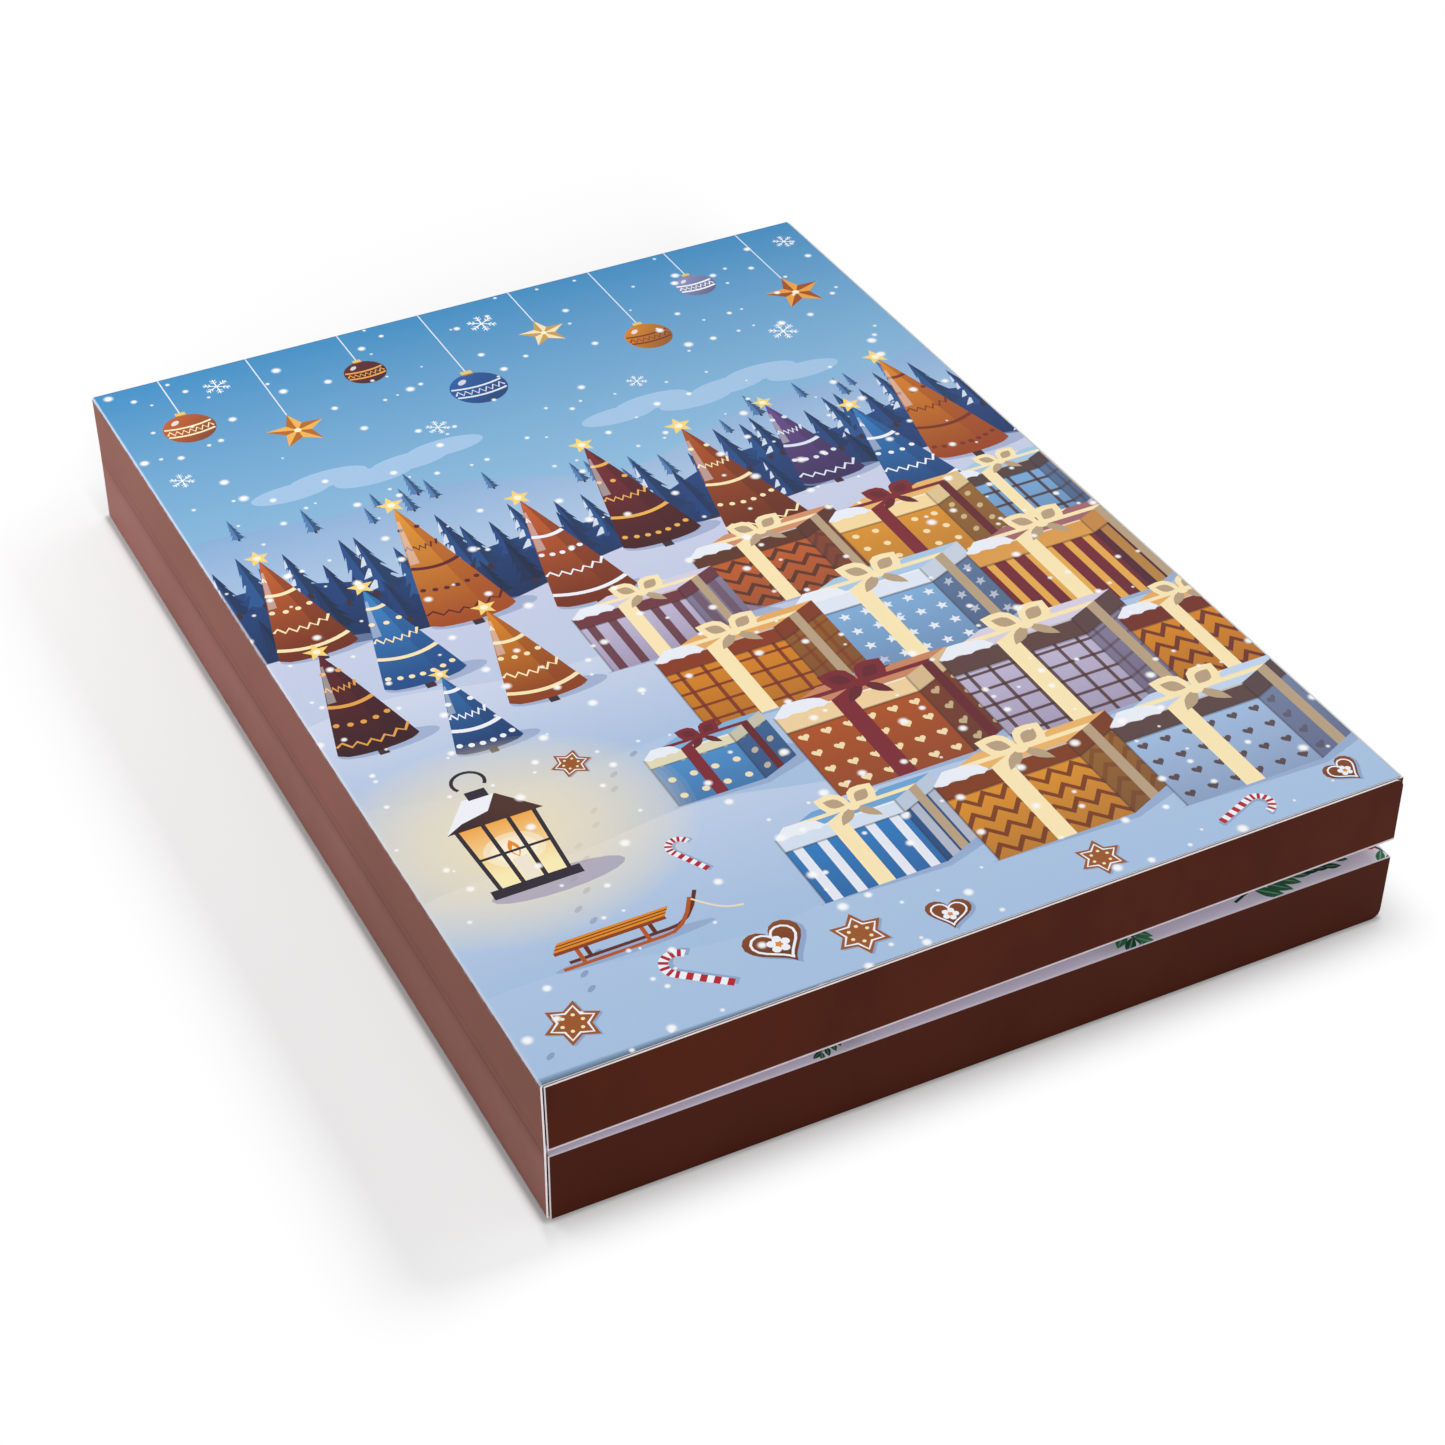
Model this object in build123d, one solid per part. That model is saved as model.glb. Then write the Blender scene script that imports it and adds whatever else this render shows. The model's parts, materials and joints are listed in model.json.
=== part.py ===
from build123d import *
import math
import os

# Book-style advent calendar with gingerbreads, closed and a little ajar, in millimetres.
# Built from its spine and front corner: x runs from the spine to the opening edge,
# y along the spine from the front end to the back end, z up from the table.

# Closed book
closed_width = 253.6
closed_length = 350.0
closed_height = 46.0
ajar_angle = 0.95  # degrees between the two halves when the book lies shut

# Wrap: one printed board round both halves, creased along the middle of the spine
wrap_board = 0.5
wrap_fold_radius = 0.9
crease_gap = 0.1
hinge_outset = 0.1  # the crease turns this far outside the spine's face

# How each carton sits in its half of the wrap
carton_board = 0.45
spine_clearance = 0.6
opening_overhang = 1.0
end_overhang = 0.65
face_inset = 1.0

# Tray blank: back panel, long walls with glue lips, end walls with dust flaps
lip_width = 9.0
lip_mitre = 7.0
dust_flap_reach = 32.0
dust_flap_mitre = 5.0
dust_flap_clearance = 0.6

# Face blank: panel with door openings and one end flap at each end
flap_spine_overhang = 0.3  # each flap is wider than its face by this at the spine
flap_edge_rise = {"lower": 0.08, "upper": 0.42}  # free edge above the cover's outer face
flap_corner_radius = 3.0

# Doors, cut on three sides and scored on the side nearest the spine
columns = 3
rows = 4
grid_margin = 6.0
grid_end_margin = 6.95
bar_width = 14.4
door_cut = 0.2
score_depth = 0.2

# Thermoformed insert with one drafted pocket under each door
insert_sheet = 0.4
insert_side_clearance = 0.5
pocket_ease = 1.0
pocket_corner_bevel = 5.0
pocket_draft = 6.0  # degrees

# Gingerbreads
biscuit_clearance = 1.9
round_height = 12.0
heart_height = 11.5
star_height = 11.0
tree_height = 10.5
wafer_thickness = 1.2
wafer_rim = 0.9
bevel_height = 4.0
bevel_reach_share = 0.04
heart_tip_share = 0.08
heart_notch_share = 0.04
star_tip_share = 0.05
heart_lobe_share = 0.27
heart_length_share = 0.95
star_inner_share = 0.66
star_points = 6
tree_tiers = 3
tree_length_share = 0.97
tree_width_share = 0.9
tree_crown_share = 0.5
tree_notch_share = 0.55
trunk_width_share = 0.2
trunk_length_share = 0.12

# Door numbers, from the spine outwards in each row, first row at the front end
lower_doors = ("14 03 22", "08 19 11", "01 24 16", "20 06 13")
upper_doors = ("09 23 05", "17 02 12", "21 10 07", "04 15 18")
shape_order = ("round", "star", "heart", "tree")

# Places worked out from the sizes above
half_height = closed_height / 2
carton_low_x = wrap_board + spine_clearance
carton_high_x = closed_width + opening_overhang
carton_low_y = -end_overhang
carton_high_y = closed_length + end_overhang
carton_width = carton_high_x - carton_low_x
carton_length = carton_high_y - carton_low_y
face_top = half_height - face_inset
face_under = face_top - carton_board
tray_floor = wrap_board + carton_board
tray_low_y = carton_low_y + carton_board
tray_high_y = carton_high_y - carton_board
cell_width = (carton_width - 2 * grid_margin) / columns
cell_length = (carton_length - 2 * grid_end_margin) / rows
door_width = cell_width - bar_width
door_length = cell_length - bar_width
flange_top = face_under - carton_board
pocket_width = door_width + 2 * pocket_ease
pocket_length = door_length + 2 * pocket_ease
pocket_depth = flange_top - insert_sheet - tray_floor
pocket_floor = tray_floor + insert_sheet
draft_inset = pocket_depth * math.tan(math.radians(pocket_draft))
biscuit_span = min(pocket_width, pocket_length) - 2 * draft_inset - 2 * biscuit_clearance
biscuit_seat = pocket_floor


def block(low_x, high_x, low_y, high_y, low_z, high_z):
    # Square-edged board or cutter between two opposite corners
    size = (high_x - low_x, high_y - low_y, high_z - low_z)
    middle = ((low_x + high_x) / 2, (low_y + high_y) / 2, (low_z + high_z) / 2)
    return Pos(*middle) * Box(*size)


def cell_centre(column, row):
    x = carton_low_x + grid_margin + (column + 1 / 2) * cell_width
    y = carton_low_y + grid_end_margin + (row + 1 / 2) * cell_length
    return x, y


def cells():
    return [(column, row) for row in range(rows) for column in range(columns)]


def nearest_edge(piece, axis, x, z):
    # The edge along an axis that passes nearest to a place in the cross-section
    def distance(edge):
        return math.hypot(edge.center().X - x, edge.center().Z - z)

    return piece.edges().filter_by(axis).sort_by(distance)[0]


def wrap_half():
    # Cover panel and half of the spine, folded from one board round the spine's outer edge
    spine_top = half_height - crease_gap / 2
    outline = Polyline(
        (0, 0),
        (closed_width, 0),
        (closed_width, wrap_board),
        (wrap_board, wrap_board),
        (wrap_board, spine_top),
        (0, spine_top),
        close=True,
    )
    profile = make_face(Plane.XZ * outline)
    board = extrude(profile, amount=closed_length, dir=(0, 1, 0))
    board = fillet(nearest_edge(board, Axis.Y, 0, 0), wrap_fold_radius)
    inner_edge = nearest_edge(board, Axis.Y, wrap_board, wrap_board)
    return fillet(inner_edge, wrap_fold_radius - wrap_board)


def glue_lip(side):
    # Lip folded inwards from the top of a long wall, with mitred ends, under the face panel
    wall_x = carton_low_x if side > 0 else carton_high_x
    inner_x = wall_x + side * lip_width
    lip = Polygon(
        (wall_x, tray_low_y + carton_board),
        (inner_x, tray_low_y + carton_board + lip_mitre),
        (inner_x, tray_high_y - carton_board - lip_mitre),
        (wall_x, tray_high_y - carton_board),
        align=None,
    )
    lip = Pos(0, 0, face_under - carton_board) * lip
    return extrude(lip, amount=carton_board, dir=(0, 0, 1))


def dust_flap(side, end):
    # Flap folded in from a long wall behind the end wall, narrowing towards its free edge
    wall_x = carton_low_x if side > 0 else carton_high_x
    tip_x = wall_x + side * dust_flap_reach
    low_z = tray_floor + dust_flap_clearance
    high_z = flange_top - dust_flap_clearance
    wall_y = tray_low_y + carton_board if end > 0 else tray_high_y - carton_board
    outline = Polyline(
        (wall_x, low_z),
        (tip_x, low_z + dust_flap_mitre),
        (tip_x, high_z - dust_flap_mitre),
        (wall_x, high_z),
        close=True,
    )
    face = make_face(Plane.XZ * outline)
    return Pos(0, wall_y, 0) * extrude(face, amount=carton_board, dir=(0, end, 0))


def tray():
    # Carton tray: back panel glued to the cover, two long walls, two end walls
    back = block(carton_low_x, carton_high_x, tray_low_y, tray_high_y, wrap_board, tray_floor)
    walls = [
        block(x, x + carton_board, tray_low_y, tray_high_y, wrap_board, face_under)
        for x in (carton_low_x, carton_high_x - carton_board)
    ]
    walls += [
        block(carton_low_x, carton_high_x, y, y + carton_board, wrap_board, face_under)
        for y in (tray_low_y, tray_high_y - carton_board)
    ]
    lips = [glue_lip(side) for side in (1, -1)]
    flaps = [dust_flap(side, end) for side in (1, -1) for end in (1, -1)]
    return back.fuse(*walls, *lips, *flaps).clean()


def end_flap(end, prefix):
    # Flap folded down over the carton's end and past the wrap's cut edge, its free edge and
    # two sides cut
    low_x = carton_low_x - flap_spine_overhang
    high_x = carton_high_x
    outline = Polyline(
        (low_x, flap_edge_rise[prefix]),
        (high_x, flap_edge_rise[prefix]),
        (high_x, face_top),
        (low_x, face_top),
        close=True,
    )
    face = make_face(Plane.XZ * outline)
    free_corner = face.vertices().sort_by(lambda v: v.X - v.Z)[-1]
    face = fillet(free_corner, flap_corner_radius)
    outer_y = carton_low_y if end > 0 else carton_high_y
    return Pos(0, outer_y, 0) * extrude(face, amount=carton_board, dir=(0, end, 0))


def face_blank(prefix):
    # Printed face panel with a door opening over each pocket, and its two end flaps
    panel = block(carton_low_x, carton_high_x, carton_low_y, carton_high_y, face_under, face_top)
    openings = []
    for column, row in cells():
        x, y = cell_centre(column, row)
        opening = Box(door_width, door_length, 2 * carton_board)
        openings.append(Pos(x, y, (face_under + face_top) / 2) * opening)
    panel = panel.cut(*openings)
    return panel.fuse(end_flap(1, prefix), end_flap(-1, prefix)).clean()


def door(column, row):
    # Die-cut door, scored on the outer face where it bends
    x, y = cell_centre(column, row)
    low_x = x - door_width / 2 + door_cut
    high_x = x + door_width / 2 - door_cut
    low_y = y - door_length / 2 + door_cut
    high_y = y + door_length / 2 - door_cut
    leaf = block(low_x, high_x, low_y, high_y, face_under, face_top)
    return chamfer(nearest_edge(leaf, Axis.Y, low_x, face_top), score_depth)


def pocket_tub(wall):
    # One drafted pocket hanging from the flange, as a closed form grown by a wall thickness
    mouth = Rectangle(pocket_width, pocket_length)
    mouth = chamfer(mouth.vertices(), pocket_corner_bevel)
    if wall > 0:
        mouth = offset(mouth, amount=wall, kind=Kind.INTERSECTION)
    tub = extrude(mouth, amount=-(pocket_depth + wall))
    sides = tub.faces() - tub.faces().filter_by(Plane.XY)
    return draft(sides, Plane.XY, -pocket_draft)


def insert():
    # Thermoformed sheet: a flange under the face panel and a pocket under each door
    low_x = carton_low_x + carton_board + insert_side_clearance
    high_x = carton_high_x - carton_board - insert_side_clearance
    low_y = tray_low_y + 2 * carton_board + insert_side_clearance
    high_y = tray_high_y - 2 * carton_board - insert_side_clearance
    sheet = block(low_x, high_x, low_y, high_y, flange_top - insert_sheet, flange_top)
    outer = pocket_tub(insert_sheet)
    inner = pocket_tub(0)
    places = [Pos(*cell_centre(column, row), flange_top) for column, row in cells()]
    sheet = sheet.fuse(*[place * outer for place in places])
    return sheet.cut(*[place * inner for place in places])


def round_gingerbread():
    # Round gingerbread baked on a wafer that stands out round its foot
    radius = biscuit_span / 2
    wafer = Circle(radius)
    dough = Pos(0, 0, wafer_thickness) * Circle(radius - wafer_rim)
    foot = extrude(wafer, amount=wafer_thickness)
    return foot + extrude(dough, amount=round_height - wafer_thickness)


def heart_outline():
    # Two round lobes and the straight sides that run from them to the tip
    lobe = heart_lobe_share * biscuit_span
    lobe_x = biscuit_span / 2 - lobe
    length = heart_length_share * biscuit_span
    lobe_y = length / 2 - lobe
    tip_y = -length / 2
    reach = math.hypot(lobe_x, lobe_y - tip_y)
    lean = math.atan2(lobe_y - tip_y, lobe_x) - math.asin(lobe / reach)
    side = math.sqrt(reach**2 - lobe**2)
    touch_x = side * math.cos(lean)
    touch_y = tip_y + side * math.sin(lean)
    middle = Polygon(
        (0, tip_y),
        (touch_x, touch_y),
        (lobe_x, lobe_y),
        (-lobe_x, lobe_y),
        (-touch_x, touch_y),
        align=None,
    )
    outline = middle + [Pos(x, lobe_y) * Circle(lobe) for x in (lobe_x, -lobe_x)]
    outline = outline.clean()
    notch_radius = heart_notch_share * biscuit_span
    centre_line = [v for v in outline.vertices() if abs(v.X) < notch_radius]
    tip, notch = sorted(centre_line, key=lambda v: v.Y)
    outline = fillet(tip, heart_tip_share * biscuit_span)
    notch = sorted(outline.vertices(), key=lambda v: abs(v.X) - v.Y / biscuit_span)[0]
    return fillet(notch, notch_radius)


def star_outline():
    # Star with blunt points
    outer = biscuit_span / 2
    step = math.pi / star_points
    points = []
    for index in range(2 * star_points):
        radius = outer if index % 2 == 0 else star_inner_share * outer
        points.append((radius * math.cos(index * step), radius * math.sin(index * step)))
    outline = Polygon(*points, align=None)
    half_way = (1 + star_inner_share) / 2 * outer
    tips = [v for v in outline.vertices() if math.hypot(v.X, v.Y) > half_way]
    return chamfer(tips, star_tip_share * biscuit_span)


def tree_outline():
    # Fir tree: a trunk and tiers of branches that narrow evenly towards the top
    length = tree_length_share * biscuit_span
    foot = -length / 2
    skirt = foot + trunk_length_share * length
    tier = (length / 2 - skirt) / tree_tiers
    trunk = trunk_width_share * biscuit_span / 2
    side = [(trunk, foot), (trunk, skirt)]
    for index in range(tree_tiers):
        narrowing = 1 - (1 - tree_crown_share) * index / (tree_tiers - 1)
        reach = narrowing * tree_width_share * biscuit_span / 2
        side.append((reach, skirt + index * tier))
        side.append((tree_notch_share * reach, skirt + (index + 1) * tier))
    side[-1] = (0, length / 2)
    mirrored = [(-x, y) for x, y in reversed(side[:-1])]
    return Polygon(*side, *mirrored, align=None)


def bevelled(outline, height):
    # Gingerbread cut from rolled dough, its top edge sloping as it does when baked
    body = extrude(outline, amount=height)
    top = body.faces().sort_by(Axis.Z)[-1]
    reach = bevel_reach_share * biscuit_span
    return chamfer(top.edges(), reach, bevel_height, reference=top)


def gingerbread(kind, column, row):
    shapes = {
        "round": round_gingerbread,
        "star": lambda: bevelled(star_outline(), star_height),
        "heart": lambda: extrude(heart_outline(), amount=heart_height),
        "tree": lambda: bevelled(tree_outline(), tree_height),
    }
    return Pos(*cell_centre(column, row), biscuit_seat) * shapes[kind]()


def half(prefix, cover_name, door_rows):
    # All pieces of one half of the book, lying face up with its cover on the table
    pieces = {
        cover_name: wrap_half(),
        f"{prefix}_tray": tray(),
        f"{prefix}_face": face_blank(prefix),
        f"{prefix}_insert": insert(),
    }
    for index, (column, row) in enumerate(cells()):
        number = door_rows[row].split()[column]
        kind = shape_order[index % len(shape_order)]
        pieces[f"door_{number}"] = door(column, row)
        pieces[f"gingerbread_{number}"] = gingerbread(kind, column, row)
    return pieces


def placed_lower(piece):
    # The origin is the middle of the back cover's outer face
    return Pos(-closed_width / 2, -closed_length / 2, 0) * piece


def placed_upper(piece):
    # The upper half is the lower one mirrored about the crease and swung ajar on it
    mirrored = mirror(piece, about=Plane.XY.offset(half_height))
    crease = Axis((-hinge_outset, 0, half_height), (0, -1, 0))
    return placed_lower(mirrored.rotate(crease, ajar_angle))


os.makedirs("parts", exist_ok=True)
nodes = {name: placed_lower(p) for name, p in half("lower", "back_cover", lower_doors).items()}
nodes |= {name: placed_upper(p) for name, p in half("upper", "front_cover", upper_doors).items()}
for name, piece in nodes.items():
    export_step(piece, f"parts/{name}.step")
print(len(nodes), "nodes, door", round(door_width, 2), "by", round(door_length, 2))
print("gingerbread span", round(biscuit_span, 2), "pocket depth", round(pocket_depth, 2))
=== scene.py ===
import json
import math
from functools import partial

import bpy
import numpy as np
from mathutils import Matrix, Vector
from mathutils.geometry import delaunay_2d_cdt

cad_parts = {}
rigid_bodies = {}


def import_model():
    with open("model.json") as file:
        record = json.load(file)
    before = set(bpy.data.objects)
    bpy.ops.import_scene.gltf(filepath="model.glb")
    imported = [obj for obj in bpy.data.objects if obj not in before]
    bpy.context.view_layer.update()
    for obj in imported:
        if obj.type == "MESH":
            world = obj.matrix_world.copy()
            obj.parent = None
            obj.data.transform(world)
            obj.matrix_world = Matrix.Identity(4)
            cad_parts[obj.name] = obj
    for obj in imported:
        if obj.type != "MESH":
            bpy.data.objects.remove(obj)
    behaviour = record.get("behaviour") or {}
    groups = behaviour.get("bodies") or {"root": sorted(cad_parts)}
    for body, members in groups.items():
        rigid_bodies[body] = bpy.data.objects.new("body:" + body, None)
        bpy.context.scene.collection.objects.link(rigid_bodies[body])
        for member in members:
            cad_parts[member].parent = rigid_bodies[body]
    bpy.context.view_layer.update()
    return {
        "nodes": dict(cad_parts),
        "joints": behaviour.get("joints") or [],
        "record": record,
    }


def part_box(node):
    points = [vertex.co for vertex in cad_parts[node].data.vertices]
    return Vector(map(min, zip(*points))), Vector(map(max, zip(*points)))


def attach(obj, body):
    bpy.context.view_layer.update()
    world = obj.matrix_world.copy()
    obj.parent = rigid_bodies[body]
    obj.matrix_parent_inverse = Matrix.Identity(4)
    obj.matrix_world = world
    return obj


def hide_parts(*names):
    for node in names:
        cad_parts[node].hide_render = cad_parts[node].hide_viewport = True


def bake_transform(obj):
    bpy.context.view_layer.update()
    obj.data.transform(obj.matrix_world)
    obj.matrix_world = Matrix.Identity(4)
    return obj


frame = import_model()
mm = 0.001

# The book's own measures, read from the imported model; lengths in millimetres
hinge = next(joint for joint in frame["joints"] if joint["name"] == "book_hinge")
backLow, backHigh = ([value / mm for value in corner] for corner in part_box("back_cover"))
faceLow, faceHigh = ([value / mm for value in corner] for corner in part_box("lower_face"))
flapOverhang = 0.3   # the end flaps reach this far past the face's edge by the spine
book = {
    "creaseX": hinge["pos_m"][0] / mm,
    "creaseZ": hinge["pos_m"][2] / mm,
    "ajar": math.radians(180 - hinge["range_deg"][1]),
    "spineX": backLow[0],
    "frontY": backLow[1],
    "width": backHigh[0] - backLow[0],
    "length": backHigh[1] - backLow[1],
    "faceX": faceLow[0] - backLow[0] + flapOverhang,
    "faceY": faceLow[1] - backLow[1],
    "faceWidth": faceHigh[0] - faceLow[0] - flapOverhang,
    "faceLength": faceHigh[1] - faceLow[1],
    "faceTop": faceHigh[2],
    "board": 0.5,
    "foldRadius": 0.9,
}
cosAjar, sinAjar = math.cos(book["ajar"]), math.sin(book["ajar"])


def intoHalf(side, across, along, up):
    # Millimetres across from the spine, along it and up from the cover's outer face, to the row
    # frame in metres; the upper half is mirrored in the crease's plane, then turned ajar
    x, y, z = book["spineX"] + across, book["frontY"] + along, up
    if side == "upper":
        dx, dz = x - book["creaseX"], book["creaseZ"] - up
        x = book["creaseX"] + dx * cosAjar - dz * sinAjar
        z = book["creaseZ"] + dx * sinAjar + dz * cosAjar
    return np.stack(np.broadcast_arrays(x, y, z), -1) * mm


def outOfHalf(side, x, y, z):
    # The opposite of intoHalf in millimetres, for arrays and for shader values alike
    if side == "lower":
        return x - book["spineX"], y - book["frontY"], z
    dx, dz = x - book["creaseX"], z - book["creaseZ"]
    across = dx * cosAjar + dz * sinAjar + (book["creaseX"] - book["spineX"])
    return across, y - book["frontY"], book["creaseZ"] - (dz * cosAjar - dx * sinAjar)


def halfTriangles(node, side):
    # A CAD node's triangles in its half's own millimetres
    mesh = frame["nodes"][node].data
    points = np.zeros(len(mesh.vertices) * 3, np.float32)
    mesh.vertices.foreach_get("co", points)
    corners = np.zeros(len(mesh.loops), np.int32)
    mesh.loops.foreach_get("vertex_index", corners)
    x, y, z = points.reshape(-1, 3).astype(float).T / mm
    return np.column_stack(outOfHalf(side, x, y, z))[corners].reshape(-1, 3, 3)


def linear(code):
    # Linear red, green and blue of a colour written as six hexadecimal digits
    value = np.array([int(code[i:i + 2], 16) for i in (0, 2, 4)]) / 255
    return np.where(value <= 0.04045, value / 12.92, ((value + 0.055) / 1.055) ** 2.4)


# Shader maths written as Python expressions

def maths(operation, reflected=False):
    # A method that adds a Math node, with the operands the other way round where reflected
    def added(value, *others):
        operands = (*others, value) if reflected else (value, *others)
        return value.shader.node("ShaderNodeMath", {"operation": operation}, *operands)
    return added


class Value:
    # An output of a node; the operators add Math nodes to its tree
    def __init__(self, shader, socket):
        self.shader, self.socket = shader, socket

    def other(self, name):
        # Another output of the same node
        return Value(self.shader, self.socket.node.outputs[name])

    __add__ = __radd__ = maths("ADD")
    __mul__ = __rmul__ = maths("MULTIPLY")
    __sub__, __rsub__ = maths("SUBTRACT"), maths("SUBTRACT", True)
    __truediv__, __rtruediv__ = maths("DIVIDE"), maths("DIVIDE", True)
    __pow__, __abs__, orMore = maths("POWER"), maths("ABSOLUTE"), maths("MAXIMUM")


class Shader:
    # The node tree of a material, or of the world, with one method that adds any node
    def __init__(self, name, kind="materials"):
        self.owner = getattr(bpy.data, kind).new(name)
        self.owner.use_nodes = True
        self.tree = self.owner.node_tree
        self.tree.nodes.clear()

    def node(self, kind, settings=None, *inputs, output=0, **named):
        # A socket takes a link, a number or a colour's code, and None leaves it as it is
        made = self.tree.nodes.new(kind)
        for name, value in (settings or {}).items():
            setattr(made, name, value)
        for key, value in (*enumerate(inputs), *named.items()):
            target = made.inputs[key if isinstance(key, int) else key.replace("_", " ")]
            if isinstance(value, Value):
                self.tree.links.new(value.socket, target)
            elif value is not None:
                target.default_value = (*linear(value), 1) if isinstance(value, str) else value
        return Value(self, made.outputs[output] if len(made.outputs) else None)

    def mix(self, factor, first, second, blend="MIX"):
        # The Mix node takes colours at its sockets 6 and 7 and gives one at its third output
        settings = {"data_type": "RGBA", "blend_type": blend}
        return self.node("ShaderNodeMix", settings, factor, *[None] * 5, first, second, output=2)

    def ramp(self, value, low, high):
        # 0 below low, 1 above high, smooth between
        settings = {"interpolation_type": "SMOOTHSTEP"}
        return self.node("ShaderNodeMapRange", settings, value, low, high, 0.0, 1.0)

    def split(self, vector):
        parts = self.node("ShaderNodeSeparateXYZ", None, vector)
        return [parts.other(axis) for axis in "XYZ"]

    def place(self, stretch=(1, 1, 1)):
        # Object coordinates in millimetres, scaled where a pattern runs one way
        point = self.node("ShaderNodeTexCoord", output="Object")
        scales = [share / mm for share in stretch]
        return self.node("ShaderNodeVectorMath", {"operation": "MULTIPLY"}, point, scales)

    def noise(self, scale, detail=3.0, roughness=0.55, stretch=(1, 1, 1)):
        return self.node("ShaderNodeTexNoise", None, self.place(stretch), Scale=scale,
                         Detail=detail, Roughness=roughness)

    def bump(self, height, strength, distance):
        return self.node("ShaderNodeBump", None, Height=height, Strength=strength,
                         Distance=distance)

    def surface(self, colour, roughness, normal=None, **constants):
        shown = self.node("ShaderNodeBsdfPrincipled", None, Base_Color=colour,
                          Roughness=roughness, Normal=normal, **constants)
        self.node("ShaderNodeOutputMaterial", None, shown)
        return self.owner

    def seenPlainly(self):
        # 1 for the camera's rays and those that gloss and glass send on, 0 for soft light
        path = self.node("ShaderNodeLightPath")
        camera, gloss, glass = (path.other(f"Is {kind} Ray")
                                for kind in ("Camera", "Glossy", "Transmission"))
        return camera.orMore(gloss).orMore(glass)


# Flat artwork, in millimetres on its own sheet

joinWithin = 1e-4                # points nearer than this become one when a sheet is cut
bakeMap = {"printed": (0.72, 0.005), "hidden": (0.24, 0.75)}  # size and corner of each side


def loopArea(loop):
    # Half the sum of the cross products of neighbouring points, positive anticlockwise
    x, y = loop.T
    return (x * np.roll(y, -1) - y * np.roll(x, -1)).sum() / 2


def anticlockwise(outline):
    outline = np.asarray(outline, float)
    return outline if loopArea(outline) > 0 else outline[::-1]


def outerEdges(triangles):
    # Directed edges that belong to one triangle only
    edges = np.concatenate([triangles[:, pair] for pair in ((0, 1), (1, 2), (2, 0))])
    _, first, counts = np.unique(np.sort(edges, axis=1), axis=0, return_index=True,
                                 return_counts=True)
    return edges[first[counts == 1]]


class Canvas:
    # Shapes painted one over another, then cut into a single layer of triangles
    def __init__(self):
        self.outlines, self.paints, self.names = [], [], {}

    def paint(self, outline, colour, opacity=1.0, fade=None):
        # fade is the start point, the end point and the colour reached there; a shape with
        # next to no area is left out
        outline = anticlockwise(outline)
        if loopArea(outline) > 1e-3:
            self.outlines.append(outline)
            self.paints.append((linear(colour), opacity, fade))

    def stroke(self, path, width, colour, closed=False):
        # A line painted in short lengths, so that it may close or cross itself
        if closed:
            path = np.concatenate((path[-1:], path, path[:2]))
        left, right = sidesOf(path, width, None)
        if closed:
            left, right = left[1:-1], right[1:-1]
        for k in range(0, len(left) - 1, 5):
            self.paint((*left[k:k + 6], *right[k:k + 6][::-1]), colour)

    def region(self, name, outline):
        # An unpainted outline whose triangles can be told apart later
        self.names[name] = len(self.outlines)
        self.outlines.append(anticlockwise(outline))
        self.paints.append(None)

    def flatten(self, ground):
        starts = np.cumsum([0] + [len(outline) for outline in self.outlines])
        faces = [list(range(a, b)) for a, b in zip(starts, starts[1:])]
        corners = [Vector(corner) for corner in np.concatenate(self.outlines)]
        cut = delaunay_2d_cdt(corners, [], faces, 0, joinWithin, True)
        points, triangles = (np.array([tuple(row) for row in part]) for part in (cut[0], cut[2]))
        owners = np.concatenate([np.array(outlines, int) for outlines in cut[5]])
        order = np.argsort(owners, kind="stable")
        inside = np.repeat(np.arange(len(triangles)), [len(o) for o in cut[5]])[order]
        limits = np.searchsorted(owners[order], np.arange(len(faces) + 1))
        within = [inside[a:b] for a, b in zip(limits, limits[1:])]
        colours = np.tile(linear(ground), (len(triangles), 3, 1))
        for chosen, outline, paint in zip(within, self.outlines, self.paints):
            middle = points[triangles[chosen]].mean(1)
            outside = (middle < outline.min(0) - 0.1) | (middle > outline.max(0) + 0.1)
            if paint is None or outside.any():
                continue  # an outline that crosses itself was filled on its outer side
            colour, opacity, fade = paint
            if fade:
                start, end = np.array(fade[:2], float)
                way = (points[triangles[chosen]] - start) @ (end - start)
                share = np.clip(way / ((end - start) @ (end - start)), 0, 1)[..., None]
                colour = colour + (linear(fade[2]) - colour) * share
            colours[chosen] += (colour - colours[chosen]) * opacity
        masks = {name: np.isin(np.arange(len(triangles)), within[index])
                 for name, index in self.names.items()}
        return {"points": points, "triangles": triangles, "colours": colours, "masks": masks}


class Motif:
    # Paints in its own units, given by a foot point, the sizes across and up, and a turn
    def __init__(self, art, x, y, wide, high=None, turn=0.0):
        self.art, self.foot, self.sizes, self.turn = art, (x, y), (wide, high or wide), turn

    def place(self, points):
        return turned(np.asarray(points, float) * self.sizes, self.turn) + self.foot

    def paint(self, outline, colour, opacity=1.0, fade=None):
        fade = fade and (*self.place(fade[:2]), fade[2])
        self.art.paint(self.place(outline), colour, opacity, fade)

    def band(self, path, width, colour, opacity=1.0, ends=None):
        # The width is in millimetres, whatever the motif's units
        self.art.paint(band(self.place(path), width, ends), colour, opacity)


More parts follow.
